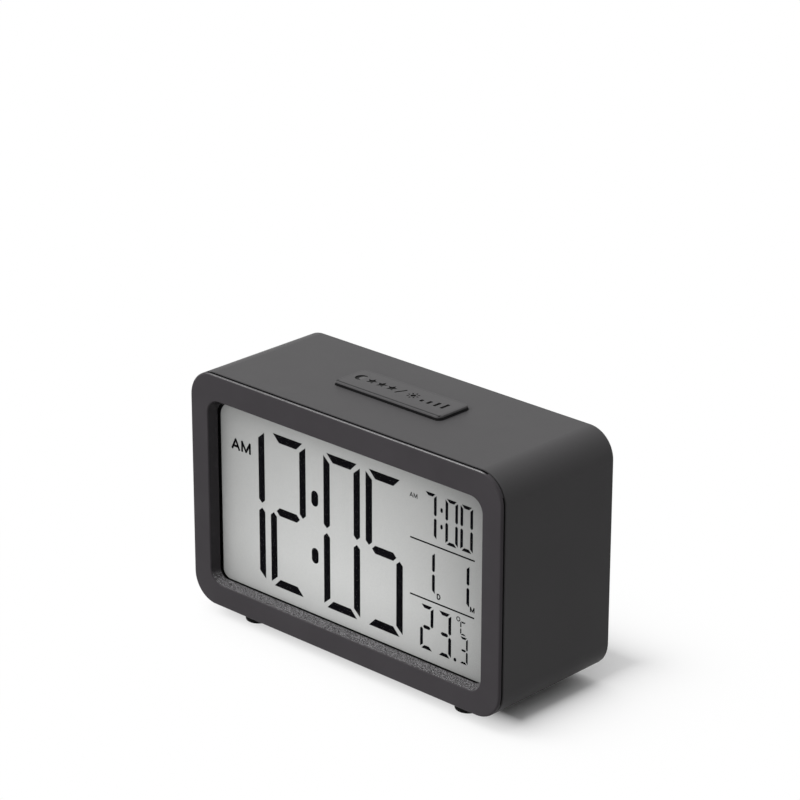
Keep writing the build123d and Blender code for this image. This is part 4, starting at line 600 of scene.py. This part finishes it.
def cell_material():
    """Printed film over a steel can: dark satin body, shiny copper-coloured bands and bare ends."""
    material, tree, place = start_material("printed_cell_film")
    along = add(tree, "ShaderNodeSeparateXYZ", {0: place}).node.outputs["X"]
    out = add(tree, "ShaderNodeMath", {0: along}, operation="ABSOLUTE")
    band = add(tree, "ShaderNodeMath", {0: out, 1: COPPER_FROM}, operation="GREATER_THAN")
    bare = add(tree, "ShaderNodeMath", {0: out, 1: BARE_FROM}, operation="GREATER_THAN")
    scuff = add(tree, "ShaderNodeTexNoise", {"Vector": place, "Scale": 1 / (1.2 * MM), "Detail": 4.0})
    base = wander(tree, scuff, linear("#1c1d20"), linear("#33353a"), 0.6)
    for zone, code in ((band, "#a8703c"), (bare, "#b9b9b7")):
        base = add(tree, "ShaderNodeMix", {"Factor": zone, "A": base, "B": linear(code)}, data_type="RGBA")
    gloss = add(tree, "ShaderNodeMapRange", {"Value": scuff, **NOISE, "To Min": 0.25, "To Max": 0.4})
    shader = add(tree, "ShaderNodeBsdfPrincipled",
                 {"Base Color": base, "Metallic": band, "Roughness": gloss})
    return finish_material(material, shader)


coat("cell_jacket", cell_material())

# %% [markdown]
# ## Flat shapes
# The display's bars, the button's pictures and the signs on the back are all flat shapes with crisp
# outlines. A font could draw letters and digits, but a display's bars aren't letters, and a font file
# would be read from disk. An image would blur close up. So each shape is an outline in millimetres, worked
# out from a few sizes, and becomes a thin prism. Here x runs to the right of the clock's middle and z up.


# %% Arcs, pills and strokes
def polar(x, z, radius, angle):
    """The point at a distance from a middle, at an angle in degrees."""
    turn = math.radians(angle)
    return (x + radius * math.cos(turn), z + radius * math.sin(turn))


def arc(x, z, radius, start, end, steps=16):
    """Points along a circle, from one angle to the other."""
    return [polar(x, z, radius, start + (end - start) * step / steps) for step in range(steps + 1)]


def pill(x, z, width, height):
    """A dot with round ends."""
    off = (height - width) / 2
    return arc(x, z + off, width / 2, 0, 180, 8) + arc(x, z - off, width / 2, 180, 360, 8)


SHARP, LAP = 0.3, 0.6


def stroke(points, width):
    """The outlines of a bent line: mitred at gentle bends, and a new piece at each sharp one."""
    half = width / 2
    spots = [Vector(point) for point in points]
    ways = [(b - a).normalized() for a, b in zip(spots, spots[1:])]
    runs = [[0]]
    for index in range(1, len(spots) - 1):
        runs[-1].append(index)
        if ways[index - 1].dot(ways[index]) < SHARP:
            runs.append([index])
    runs[-1].append(len(spots) - 1)
    outlines = []
    for run in runs:
        left, right = [], []
        for index in run:
            near = [ways[index - 1]] if index > run[0] else []
            near += [ways[index]] if index < run[-1] else []
            across = sum((Vector((-way.y, way.x)) for way in near), Vector((0, 0))).normalized()
            reach = half / across.dot(Vector((-near[0].y, near[0].x)))
            spot = spots[index].copy()
            if index == run[0] and index > 0:
                spot -= near[0] * half * LAP
            if index == run[-1] and index < len(spots) - 1:
                spot += near[0] * half * LAP
            left.append(tuple(spot + across * reach))
            right.append(tuple(spot - across * reach))
        outlines.append(left + right[::-1])
    return outlines


print("a bent stroke makes", len(stroke([(0, 1), (0, 0), (1, 0)], 0.2)), "outlines")


# %% From outlines to a piece
def prisms(name, shapes, front, back, shift=(0, 0), plane="xz"):
    """One mesh of flat prisms. Outlines and their shift are in mm, front and back in metres."""
    mesh = bpy.data.meshes.new(name)
    bm = bmesh.new()
    for shape in shapes:
        rings = []
        for level in (front, back):
            row = [((u + shift[0]) * MM, (v + shift[1]) * MM) for u, v in shape]
            row = [(u, level, v) if plane == "xz" else (u, v, level) for u, v in row]
            rings.append([bm.verts.new(spot) for spot in row])
        bm.faces.new(rings[0])
        bm.faces.new(rings[1][::-1])
        for index in range(len(shape)):
            after = (index + 1) % len(shape)
            bm.faces.new((rings[0][index], rings[1][index], rings[1][after], rings[0][after]))
    bmesh.ops.recalc_face_normals(bm, faces=bm.faces)
    bm.to_mesh(mesh)
    bm.free()
    piece = bpy.data.objects.new(name, mesh)
    bpy.context.collection.objects.link(piece)
    return piece


def seat(piece, body):
    """The last step for a new piece: the body it moves with."""
    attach(piece, body)
    print(piece.name, "rides on", body, "with", len(piece.data.polygons), "faces")


# Heights on the display count from the underside of the housing, which the feet lift.
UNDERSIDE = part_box("housing")[0].z / MM
print("underside:", round(UNDERSIDE, 2), "mm up")

# %% [markdown]
# ## The display's segments
# A digit is made of seven mitred bars with fine gaps, and only the lit ones show. In twisted liquid
# crystal a driven bar is nearly black with a hint of violet. The bars could be painted on the film by
# nodes, but they are the sharpest thing on the clock, and a thin prism on the film stays crisp from every
# side and at any size.


# %% The bars of one digit
def digit(left, bottom, width, height, bar, lit):
    """The outlines of a digit's lit bars: a to f clockwise from the top, and g across the middle."""
    right, top, middle = left + width, bottom + height, bottom + height / 2
    half, nick, tip, notch, mitre = (share * bar for share in (0.5, 0.4, 0.3, 0.75, 1.25))
    bars = {
        "a": [(left + half, top), (right - half, top), (right - half - bar, top - bar),
              (left + half + bar, top - bar)],
        "d": [(left + half + bar, bottom + bar), (right - half - bar, bottom + bar), (right - half, bottom),
              (left + half, bottom)],
        "g": [(left + bar, middle), (left + half + bar, middle + half), (right - half - bar, middle + half),
              (right - bar, middle), (right - half - bar, middle - half),
              (left + half + bar, middle - half)],
    }
    for upper, lower, edge, side in (("b", "c", right, 1), ("f", "e", left, -1)):
        inner, centre = edge - side * bar, edge - side * half
        bars[upper] = [(edge, top - nick), (edge, middle + notch), (centre, middle + tip),
                       (inner, middle + notch), (inner, top - mitre)]
        bars[lower] = [(edge, bottom + nick), (edge, middle - notch), (centre, middle - tip),
                       (inner, middle - notch), (inner, bottom + mitre)]
    return [bars[name] for name in lit]


LIT = {0: "abcdef", 1: "bc", 2: "abged", 3: "abgcd", 5: "afgcd", 7: "abc", "C": "afed"}
print("bars in an eight:", len(digit(0, 0, 1, 2, 0.2, "abcdefg")))

# %% Plain capitals
CAPITALS = {
    # how far the next letter is, and the strokes, for a letter one high
    "A": (1.08, [[(0, 0), (0.42, 1), (0.84, 0)], [(0.16, 0.34), (0.68, 0.34)]]),
    "M": (1.2, [[(0.06, 0), (0.06, 1), (0.5, 0.12), (0.94, 1), (0.94, 0)]]),
    "D": (1.0, [[(0.06, 0), (0.06, 1), (0.45, 1), (0.72, 0.8), (0.8, 0.5), (0.72, 0.2), (0.45, 0),
                 (0.06, 0)]]),
    "O": (1.05, [[(0.1, 0.25), (0.1, 0.75), (0.28, 1), (0.58, 1), (0.76, 0.75), (0.76, 0.25), (0.58, 0),
                  (0.28, 0), (0.1, 0.25)]]),
    "N": (1.0, [[(0.06, 0), (0.06, 1), (0.7, 0), (0.7, 1)]]),
    "F": (0.85, [[(0.06, 0), (0.06, 1), (0.62, 1)], [(0.06, 0.5), (0.54, 0.5)]]),
}


def letters(text, x, z, height, width, stretch=1.0):
    """Capitals as strokes, from a lower left corner."""
    shapes = []
    for sign in text:
        step, lines = CAPITALS[sign]
        for line in lines:
            shapes += stroke([(x + u * height * stretch, z + v * height) for u, v in line], width)
        x += step * height * stretch
    return shapes


print("an A makes", len(letters("A", 0, 0, 1, 0.1)), "outlines")

# %% Lay out the display
DIGITS = (
    # bottom, width, height, bar, and what each digit shows with its left edge
    (12.5, 15.4, 51.4, 2.65, ((1, -52.2), (2, -34.3), (0, -11.2), (5, 6.6))),
    (48.9, 4.95, 14.7, 1.05, ((7, 30.65), (0, 39.15), (0, 45.1))),
    (31.0, 4.95, 14.0, 1.1, ((1, 30.1), (1, 43.9))),
    (12.1, 5.4, 14.6, 1.15, ((2, 29.2), (3, 36.4))),
    (12.3, 3.3, 8.8, 0.7, ((3, 45.2),)),
    (21.6, 2.4, 4.4, 0.46, (("C", 45.4),)),
)
# x, z, width and height: two dots of the time, two of the alarm time, and the point before the tenths
DOTS = ((-15.0, 47.3, 2.9, 5.2), (-15.0, 28.2, 2.9, 5.2), (37.6, 59.2, 0.95, 1.5), (37.6, 53.9, 0.95, 1.5),
        (43.4, 12.6, 1.1, 1.2))
# text, x, z, height, width of the stroke and stretch
LETTERS = (("AM", -51.2, 53.7, 3.4, 0.78, 1.16), ("AM", 24.8, 60.0, 1.45, 0.24),
           ("D", 36.0, 30.2, 1.5, 0.4), ("M", 49.3, 30.2, 1.6, 0.38))
RULES_UP, RULE_ENDS, RULE_WIDE = (47.0, 28.55), (25.0, 50.9), 0.5
display = []
for bottom, width, height, bar, row in DIGITS:
    for value, left in row:
        display += digit(left, bottom, width, height, bar, LIT[value])
for dot in DOTS:
    display.append(pill(*dot))
for text in LETTERS:
    display += letters(*text)
for up in RULES_UP:
    display += stroke([(RULE_ENDS[0], up), (RULE_ENDS[1], up)], RULE_WIDE)
degree = arc(44.6, 26.4, 0.65, 0, 360, 20)
display += stroke(degree, 0.3)
print("outlines on the display:", len(display))


# %% Print them on the film
def segment_material():
    """A driven segment of liquid crystal: nearly black, slightly violet, with no gloss of its own."""
    material, tree, place = start_material("display_segment")
    tint = add(tree, "ShaderNodeTexNoise", {"Vector": place, "Scale": 1 / (5 * MM), "Detail": 2.0})
    base = wander(tree, tint, linear("#040306"), linear("#07060b"))
    satin = add(tree, "ShaderNodeMapRange", {"Value": tint, **NOISE, "To Min": 0.35, "To Max": 0.42})
    shader = add(tree, "ShaderNodeBsdfPrincipled",
                 {"Base Color": base, "Roughness": satin, "Specular IOR Level": 0.02})
    return finish_material(material, shader)


SEGMENT_PROUD, SEGMENT_CLEAR = 0.03 * MM, 0.001 * MM
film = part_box("front_polariser")[0].y
segments = prisms("display_segments", display, film - SEGMENT_PROUD, film - SEGMENT_CLEAR, (0, UNDERSIDE))
segments.data.materials.append(segment_material())
seat(segments, "clock")

# %% [markdown]
# ## Pictures engraved in the top button
# The button's row of pictures is pressed in by the mould: a moon and stars for the pause before the next
# ring, a sun with growing bars for the light. A bump or dark paint would show them from above, but in a
# low view only a real edge catches the light. They are a few tenths of a millimetre deep, so a Boolean
# cuts them from a merged copy of the button, and the floor of the cuts takes the cutter's black, which is
# painted shade.


# %% Outlines of the pictures
def moon(x, z, radius):
    """A crescent that opens to the right."""
    return arc(x, z, radius, 50, 310) + arc(x + 0.55 * radius, z, 0.772 * radius, 277, 83)[1:-1]


def star(x, z, radius, inner_share=0.45):
    """A five-pointed star."""
    return [polar(x, z, radius * (inner_share if step % 2 else 1), 90 + 36 * step) for step in range(10)]


def sun(x, z, radius):
    """A disc with eight rays."""
    shapes = [arc(x, z, 0.42 * radius, 0, 345, 23)]
    for step in range(8):
        ends = [polar(x, z, share * radius, 45 * step) for share in (0.62, 1.0)]
        shapes += stroke(ends, 0.24 * radius)
    return shapes


STAR_LEFTS = (-12.9, -8.7, -4.5)
BAR_LEFT, BAR_PITCH, BAR_FOOT, BAR_WIDE = 9.0, 2.8, -1.95, 1.1
pictures = [moon(-17.4, 0, 2.1), *(star(left, 0, 2.0) for left in STAR_LEFTS)]
pictures += stroke([(-1.7, -1.9), (0.1, 1.9)], 0.7)
pictures += sun(4.4, 0, 2.1)
for step, tall in enumerate((1.5, 2.3, 3.1, 3.9)):
    across = BAR_LEFT + BAR_PITCH * step
    pictures += stroke([(across, BAR_FOOT), (across, BAR_FOOT + tall)], BAR_WIDE)
print("outlines on the button:", len(pictures))


# %% Merge a solid, apply a modifier
def merged_copy(node, name):
    """A copy of a solid with its loose triangles joined into a closed mesh."""
    mesh = frame["nodes"][node].data.copy()
    bm = bmesh.new()
    bm.from_mesh(mesh)
    bmesh.ops.remove_doubles(bm, verts=bm.verts, dist=0.001 * MM)
    bm.to_mesh(mesh)
    bm.free()
    piece = bpy.data.objects.new(name, mesh)
    bpy.context.collection.objects.link(piece)
    return piece


def bake(piece):
    """Turn what the modifiers make into the piece's own plain mesh."""
    graph = bpy.context.evaluated_depsgraph_get()
    mesh = bpy.data.meshes.new_from_object(piece.evaluated_get(graph))
    piece.modifiers.clear()
    piece.data = mesh


print("button's solid:", len(frame["nodes"]["snooze_button"].data.polygons), "loose triangles")

# %% Cut the pictures
ENGRAVED = 0.4 * MM
ROW_BACK = 2.5
button_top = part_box("snooze_button")[1].z
cutter = prisms("cutter", pictures, button_top - ENGRAVED, button_top + ENGRAVED, (0, ROW_BACK), "xy")
# The cutter's black is painted shade for the floor of the cuts.
cutter.data.materials.append(smooth_plastic("engraving_painted_shade", "#040404", "#080808", 0.7, 2 * MM))
button = merged_copy("snooze_button", "snooze_button_top")
cut = button.modifiers.new("engrave", "BOOLEAN")
cut.operation = "DIFFERENCE"
cut.solver = "EXACT"
cut.material_mode = "TRANSFER"
cut.object = cutter
bake(button)
button.data.shade_smooth()
button.data.set_sharp_from_angle(angle=math.radians(25))
bpy.data.objects.remove(cutter)
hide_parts("snooze_button")
seat(button, "snooze")

# %% [markdown]
# ## Signs on the back
# The keys carry no words. Small signs in light paint above them say what they do: a clock for setting the
# time, plus and minus, a bell for the alarm, and ON and OFF at the ends of the slide. A mask in the
# cover's material could paint them, but thin prisms reuse the outlines above and keep crisp edges. They
# are drawn as seen from behind, so x is turned round, and each takes its place from the key it belongs to.

# %% Signs above the keys
SIGN_PROUD, SIGN_SUNK = 0.2 * MM, 0.05 * MM
SIGN_UP = 76.2
SIGN_LINE = 0.4


def from_behind(shapes, node):
    """Outlines drawn round zero, placed above a node and turned to be read from behind."""
    low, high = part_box(node)
    middle = (low.x + high.x) / 2 / MM
    return [[(middle - u, SIGN_UP + v) for u, v in shape] for shape in shapes]


half_rings = [arc(0, 0, 1.6, start, start + 180) + arc(0, 0, 1.3, start + 180, start) for start in (0, 180)]
clock_sign = half_rings + stroke([(0, 1.0), (0, 0), (0.7, -0.35)], 0.3)
plus_sign = stroke([(-1.3, 0), (-0.2, 0)], SIGN_LINE) + stroke([(0.2, 0), (1.3, 0)], SIGN_LINE)
plus_sign += stroke([(0, -1.3), (0, 1.3)], SIGN_LINE)
minus_sign = stroke([(-1.3, 0), (1.3, 0)], SIGN_LINE)
bell = [(-1.45, -1.0), (-1.0, -0.5), *arc(0, 0.45, 0.95, 180, 0), (1.0, -0.5), (1.45, -1.0)]
clapper = arc(0, -1.35, 0.25, 0, 337.5, 15)
switch_sign = letters("OFF", 0.3, -0.8, 1.5, 0.28) + letters("ON", -4.8, -0.8, 1.5, 0.28)
signs = []
for shapes, node in ((clock_sign, "set_key"), (plus_sign, "up_key"), (minus_sign, "down_key"),
                     ([bell, clapper], "alarm_key"), (switch_sign, "alarm_knob")):
    signs += from_behind(shapes, node)
cover_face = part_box("rear_cover")[1].y
rear_signs = prisms("rear_signs", signs, cover_face - SIGN_SUNK, cover_face + SIGN_PROUD)
rear_signs.data.materials.append(smooth_plastic("sign_paint", "#c9c9c7", "#d4d4d2", 0.5, 3 * MM))
seat(rear_signs, "clock")

# %% [markdown]
# ## Grip of the battery door
# Five rounded ridges below the latch give the thumb a hold, and an arrow says which way to press. The
# ridges are alike, so they could be one mesh copied in a loop, or an array. A Geometry Nodes tree keeps
# their length, width, pitch and count as inputs that can be changed later. It sweeps a circle along a
# line, and a scale that runs out at both ends makes the ends round.


# %% A tree for the ridges
def ridge_tree():
    """A tree that makes one rounded ridge along X and repeats it downwards.

    With t from 0 to 1 along the line, the ridge is as wide as the root of 1.02 - abs(2t - 1) ** 16.
    """
    tree = bpy.data.node_groups.new("grip_ridges", "GeometryNodeTree")
    tree.is_modifier = True
    for label, kind in (("Length", "Float"), ("Radius", "Float"), ("Pitch", "Float"), ("Count", "Int"),
                        ("Material", "Material")):
        tree.interface.new_socket(label, in_out="INPUT", socket_type="NodeSocket" + kind)
    tree.interface.new_socket("Geometry", in_out="OUTPUT", socket_type="NodeSocketGeometry")
    given = add(tree, "NodeGroupInput").node.outputs
    ends = []
    for side in (-0.5, 0.5):
        out = add(tree, "ShaderNodeMath", {0: given["Length"], 1: side}, operation="MULTIPLY")
        ends.append(add(tree, "ShaderNodeCombineXYZ", {"X": out}))
    line = add(tree, "GeometryNodeCurvePrimitiveLine", {"Start": ends[0], "End": ends[1]})
    line = add(tree, "GeometryNodeResampleCurve", {"Curve": line, "Count": 33})
    along = add(tree, "GeometryNodeSplineParameter")
    off = add(tree, "ShaderNodeMath", {0: along, 1: 2.0, 2: -1.0}, operation="MULTIPLY_ADD")
    off = add(tree, "ShaderNodeMath", {0: off}, operation="ABSOLUTE")
    off = add(tree, "ShaderNodeMath", {0: off, 1: 16.0}, operation="POWER")
    keep = add(tree, "ShaderNodeMath", {0: 1.02, 1: off}, operation="SUBTRACT")
    wide = add(tree, "ShaderNodeMath", {0: keep, 1: 0.5}, operation="POWER")
    section = add(tree, "GeometryNodeCurvePrimitiveCircle", {"Resolution": 14, "Radius": given["Radius"]})
    ridge = add(tree, "GeometryNodeCurveToMesh",
                {"Curve": line, "Profile Curve": section, "Scale": wide, "Fill Caps": True})
    down = add(tree, "ShaderNodeMath", {0: given["Pitch"], 1: -1.0}, operation="MULTIPLY")
    spots = add(tree, "GeometryNodeMeshLine",
                {"Count": given["Count"], "Offset": add(tree, "ShaderNodeCombineXYZ", {"Z": down})})
    ridges = add(tree, "GeometryNodeInstanceOnPoints", {"Points": spots, "Instance": ridge})
    whole = add(tree, "GeometryNodeRealizeInstances", {"Geometry": ridges})
    coated = add(tree, "GeometryNodeSetMaterial", {"Geometry": whole, "Material": given["Material"]})
    add(tree, "NodeGroupOutput", {"Geometry": coated})
    return tree


grip_tree = ridge_tree()
print("nodes in the tree:", len(grip_tree.nodes))

# %% The ridges on the door
RIDGE_SUNK = 0.22 * MM
RIDGE_TOP = 48.6 * MM
door_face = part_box("battery_door")[1].y
ridges = bpy.data.objects.new("door_grip", bpy.data.meshes.new("door_grip"))
bpy.context.collection.objects.link(ridges)
grip = ridges.modifiers.new("ridges", "NODES")
grip.node_group = grip_tree
grip_inputs = {"Length": 16 * MM, "Radius": 0.45 * MM, "Pitch": 1.5 * MM, "Count": 5,
               "Material": finishes["case_plastic"]}
for item in grip.node_group.interface.items_tree:
    if item.name in grip_inputs:
        grip[item.identifier] = grip_inputs[item.name]
bake(ridges)
ridges.data.transform(Matrix.Translation((0, door_face - RIDGE_SUNK, RIDGE_TOP)))
ridges.data.shade_smooth()
seat(ridges, "door")

# %% The arrow on the door
ARROW_UP, ARROW_TALL, ARROW_HALF = 38.5, 2.4, 2.2
arrow = [(-ARROW_HALF, ARROW_UP + ARROW_TALL / 2), (0, ARROW_UP - ARROW_TALL / 2),
         (ARROW_HALF, ARROW_UP + ARROW_TALL / 2)]
door_arrow = prisms("door_arrow", [arrow], door_face - SIGN_SUNK, door_face + SIGN_PROUD)
door_arrow.data.materials.append(finishes["key_plastic"])
seat(door_arrow, "door")

# %% [markdown]
# ## Floor
# The clock stands on white paper that keeps its shadow and is plain white a few centimetres away. A strong
# light would burn the paper white, but the clock's colours with it. So lamps stay at a level at which
# colours come out as written, and the paper turns into an even white with distance, only for rays from the
# camera, off gloss and through glass. Light that it throws back at the clock comes from a darker grey, or
# the clock would glow from below. The shadow reaches further back and to the right, so the block that
# distance is measured from is moved.


# %% White paper with a shadow
def seen_or_mirrored(tree):
    """1 for rays from the camera, off gloss and through glass, which see the white background."""
    path = add(tree, "ShaderNodeLightPath").node.outputs
    either = add(tree, "ShaderNodeMath", {0: path["Is Camera Ray"], 1: path["Is Glossy Ray"]},
                 operation="MAXIMUM")
    return add(tree, "ShaderNodeMath", {0: either, 1: path["Is Transmission Ray"]}, operation="MAXIMUM")


SHADOW_REACH = 9 * MM
SHADE_MIDDLE = (0, 15.7 * MM, 0)
SHADE_HALF = (61 * MM, 26.3 * MM, 0)
WHITE = (1, 1, 1, 1)


def floor_material():
    """White paper: it takes the clock's shadow, and turns to an even white further out."""
    material, tree, place = start_material("white_paper")
    seen = seen_or_mirrored(tree)
    fibres = add(tree, "ShaderNodeTexNoise", {"Vector": place, "Scale": 1 / (60 * MM), "Detail": 2.0})
    paper = wander(tree, fibres, (0.93, 0.93, 0.93, 1), (0.94, 0.94, 0.94, 1))
    thrown_back = (0.2, 0.2, 0.2, 1)
    base = add(tree, "ShaderNodeMix", {"Factor": seen, "A": thrown_back, "B": paper}, data_type="RGBA")
    shaded = add(tree, "ShaderNodeBsdfDiffuse", {"Color": base})
    apart = distance_outside(tree, place, SHADE_MIDDLE, SHADE_HALF)
    near = add(tree, "ShaderNodeMath", {0: apart, 1: -1 / SHADOW_REACH}, operation="MULTIPLY")
    near = add(tree, "ShaderNodeMath", {0: near}, operation="EXPONENT")
    away = add(tree, "ShaderNodeMath", {0: 1.0, 1: near}, operation="SUBTRACT")
    share = add(tree, "ShaderNodeMath", {0: away, 1: seen}, operation="MULTIPLY")
    even = add(tree, "ShaderNodeEmission", {"Color": WHITE, "Strength": 1.0})
    return finish_material(material, add(tree, "ShaderNodeMixShader", {0: share, 1: shaded, 2: even}))


bpy.ops.mesh.primitive_plane_add(size=8.0)
floor = bpy.context.object
floor.name = "floor"
floor.data.materials.append(floor_material())
print("floor:", floor.dimensions.x, "m wide")

# %% [markdown]
# ## Light
# In the photograph the top is the lightest side, the front darker, and the right side darkest, with soft
# shadows to the back right. Several panels could do this, but each leaves its own edge in the gloss. A sky
# whose strength changes evenly with direction lights the three sides in their right order without an edge.
# One large soft light, high on the left, adds a slight direction. The camera, gloss and glass see the sky
# as plain white.

# %% Sky and softbox
SKY_LEVEL = 0.5
SKY_SHARES = (("X", -0.68), ("Y", -0.45), ("Z", 0.7))
SOFTBOX_WIDE, SOFTBOX_WATTS = 0.6, 8.0
SOFTBOX_AT, SOFTBOX_AIM = Vector((-0.8, -0.7, 1.2)), Vector((0, 0, 0.04))
world = bpy.data.worlds.new("studio")
bpy.context.scene.world = world
world.use_nodes = True
tree = world.node_tree
way = add(tree, "ShaderNodeTexCoord").node.outputs["Generated"]
toward = add(tree, "ShaderNodeSeparateXYZ", {0: way}).node.outputs
sky = SKY_LEVEL
for axis, share in SKY_SHARES:
    sky = add(tree, "ShaderNodeMath", {0: toward[axis], 1: share, 2: sky}, operation="MULTIPLY_ADD")
sky = add(tree, "ShaderNodeMath", {0: sky, 1: 0.0}, operation="MAXIMUM")
seen = seen_or_mirrored(tree)
level = add(tree, "ShaderNodeMix", {"Factor": seen, "A": sky, "B": 1.0}, data_type="FLOAT")
background = tree.nodes["Background"]
background.inputs["Color"].default_value = WHITE
tree.links.new(level, background.inputs["Strength"])

softbox = bpy.data.lights.new("left_softbox", "AREA")
softbox.shape = "SQUARE"
softbox.size = SOFTBOX_WIDE
softbox.energy = SOFTBOX_WATTS
lamp = bpy.data.objects.new("left_softbox", softbox)
bpy.context.collection.objects.link(lamp)
lamp.location = SOFTBOX_AT
lamp.rotation_euler = (SOFTBOX_AIM - SOFTBOX_AT).to_track_quat("-Z", "Y").to_euler()
print("sky straight up:", SKY_LEVEL + SKY_SHARES[2][1], "softbox:", softbox.energy, "W")

# %% [markdown]
# ## Camera
# The photograph looks at the clock from the front right, a little from above, through a long lens. The
# camera could be placed by eye, but then edges miss by several pixels. Its place, turn and lens were
# worked out from the straight edges of the case instead. The turns are in degrees, and a small roll levels
# the picture.

# %% Camera
AZIMUTH, ELEVATION, ROLL = 43.417, 21.5876, 0.1154
SENSOR, LENS = 36.0, 144.627
STANDS_AT = Vector((0.62258, -0.65669, 0.43592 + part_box("housing")[0].z))
turn, rise, roll = math.radians(AZIMUTH), math.radians(ELEVATION), math.radians(ROLL)
back = Vector((math.sin(turn) * math.cos(rise), -math.cos(turn) * math.cos(rise), math.sin(rise)))
side = (-back).cross(Vector((0, 0, 1))).normalized()
lift = side.cross(-back)
right = math.cos(roll) * side + math.sin(roll) * lift
up = -math.sin(roll) * side + math.cos(roll) * lift
camera = bpy.data.objects.new("camera", bpy.data.cameras.new("camera"))
bpy.context.collection.objects.link(camera)
camera.data.sensor_width = SENSOR
camera.data.lens = LENS
camera.data.clip_start = 0.01
pose = Matrix((right, up, back)).transposed().to_4x4()
pose.translation = STANDS_AT
camera.matrix_world = pose
bpy.context.scene.camera = camera
bpy.context.scene.view_settings.view_transform = "Standard"
print("camera:", round(STANDS_AT.length, 3), "m from the clock's foot")
